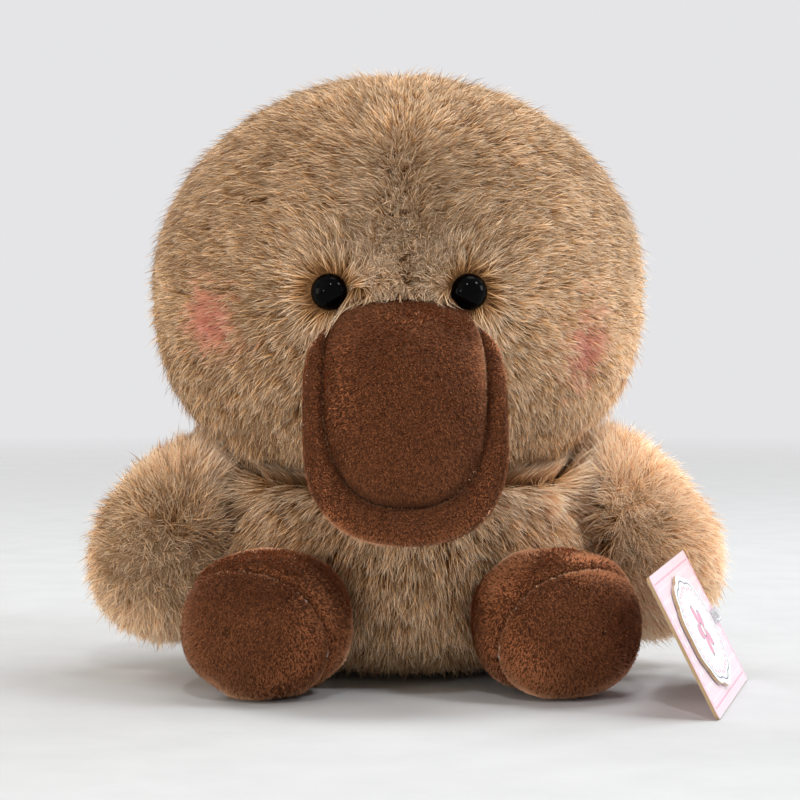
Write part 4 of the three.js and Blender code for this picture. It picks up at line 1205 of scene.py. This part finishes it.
def board_material():
    """White print with a fine dark outline, a dotted ring and a plain five-petalled flower."""
    m = Nodes("tag_board_print").set(Roughness=0.32, Coat_Weight=0.2, Coat_Roughness=0.15)
    at, x, y, z = print_place(m)
    x = x - BOARD_AT
    long, short = BOARD_HALF
    turn = (y / short).angle(x / long)
    dip = (1.0 - abs((turn * (SCALLOPS / 2)).sine())) * SCALLOP_DEPTH
    ox, oy = (long - dip) * turn.cosine(), (short - dip) * turn.sine()
    out = (x ** 2.0 + y ** 2.0).root()
    rim = (ox ** 2.0 + oy ** 2.0).root() - out
    inside = abs((y.angle(x) * 2.5).cosine()) * 6.2 + 3.4 - out
    navy, pink = srgb(38, 44, 92), srgb(238, 150, 184)
    colour = m.speckle(m.noise(at, 0.5), (243, 245, 248), (248, 249, 251))
    for where, paint in ((rim.near(2.2, 0.24), navy), (rim.near(4.6, 0.55) * ((turn * 36.0).sine() > 0.1), pink),
                         (inside > 0.0, navy), (inside > 0.5, pink), (out < 2.6, navy),
                         (out < 2.1, srgb(250, 244, 232))):
        colour = m.mix(where, colour, paint)
    off, half = z - (BOARD_LOW + BOARD_THICK / 2), BOARD_THICK / 2 - 0.1
    return m.finish(printed(m, at, off, half, colour, (176, 146, 104), (205, 178, 136)))


def tag():
    """Prints the card, and lays the board with its rounded edges on it."""
    recolour(frame["nodes"]["tag_card"], card_material())
    columns = 240
    a = all_round(columns)
    dip = SCALLOP_DEPTH * (1 - abs(np.sin(a * SCALLOPS / 2)))
    rounding = ((0.16, 0.0), (0.04, 0.05), (0.0, 0.16))
    rings = rounding + tuple((inset, BOARD_THICK - z) for inset, z in rounding[::-1])
    q = [np.stack([BOARD_AT + (BOARD_HALF[0] - dip - inset) * np.cos(a), (BOARD_HALF[1] - dip - inset) * np.sin(a),
                   np.full(columns, BOARD_LOW + z)], 1) for inset, z in rings]
    obj = add_faces("tag_board_print", np.concatenate(q) @ TAG_AXES.T + TAG_AT, closed_tube(len(rings), columns),
                    board_material(), smooth=False)
    dress(obj, "tag", "tag_board")


tag()


# Floor, light and camera.

def floor():
    """A pale disc that fades out into the background."""
    bpy.ops.mesh.primitive_circle_add(vertices=96, radius=3.0, fill_type="NGON")
    obj = bpy.context.object
    obj.name = "floor"
    m = Nodes("floor_pale").set(Roughness=0.75)
    far = m.node("VectorMath", {0: m.value("NewGeometry")}, operation="LENGTH").outputs["Value"]
    m.finish(m.ramp(m.noise(m.place(), 40), (0.3, 214, 217, 220), (0.7, 220, 223, 226)))
    m.show("Material", m.span(far, 0.45, 1.5), m.shader.outputs[0], m.value("BsdfTransparent"))
    obj.data.materials.append(m.block)


def world():
    """Soft warm light all round, pale grey to the camera, in gloss and through what is clear."""
    m = Nodes("studio", "worlds")
    path = m.node("LightPath").outputs
    seen = path["Is Camera Ray"]
    for more in ("Is Glossy Ray", "Is Transmission Ray"):
        seen = m.math("ADD", seen, path[more], clamp=True)
    m.tree.nodes.remove(m.tree.nodes["Background"])
    m.show("World", seen, *[m.value("Background", {0: colour, 1: strength}) for colour, strength in (
        (srgb(242, 228, 210), 0.34), (srgb(229, 229, 231), 1.0))])
    bpy.context.scene.world = m.block


def lamp(name, at, power, size, colour=(1, 1, 1)):
    """A soft square lamp that points at the toy."""
    data = bpy.data.lights.new(name, "AREA")
    data.energy, data.size, data.color = power, size, colour
    obj = add_object(name, data)
    obj.location = at
    direction = np.array((0, 0, 0.11)) - np.array(at)
    obj.rotation_euler = Vector(direction).to_track_quat("-Z", "Y").to_euler()


def camera():
    """The photograph's view, from 1 m away and a little above the toy's middle."""
    data = bpy.data.cameras.new("camera")
    data.lens, data.sensor_width = 126, 36
    data.clip_start, data.clip_end = 0.01, 20
    obj = add_object("camera", data)
    azimuth, pitch = radians(-1.5), radians(2.5)
    aim = Vector((-0.00235, 0, 0.09634))
    obj.location = aim + Vector((sin(azimuth), -cos(azimuth), tan(pitch)))
    obj.rotation_euler = (aim - obj.location).to_track_quat("-Z", "Y").to_euler()
    bpy.context.scene.camera = obj


floor()
world()
for one in (("key", (1.0, -0.55, 1.15), 5.3, 0.25, (0.96, 0.98, 1.0)),
            ("fill", (-1.0, -0.9, 0.8), 1.6, 1.1, (1.0, 0.88, 0.74)),
            ("top", (0.25, 0.1, 1.35), 5.5, 0.6, (0.95, 0.98, 1.0)),
            ("right", (1.3, -0.2, 0.5), 4.2, 0.4, (0.92, 0.97, 1.0)),
            ("rim_left", (-0.9, 0.7, 0.9), 5.5, 0.6),
            ("rim_right", (0.95, 0.6, 0.8), 5.5, 0.6, (0.94, 0.97, 1.0)),
            ("catch_top", (-0.05, -0.95, 0.95), 2.5, 0.08),
            ("left", (-1.25, -0.35, 0.22), 3.2, 0.5, (1.0, 0.88, 0.72)),
            ("catch_left", (-0.75, -0.95, 0.25), 1.2, 0.08)):
    lamp(*one)
camera()
bpy.context.scene.view_settings.view_transform = "Standard"
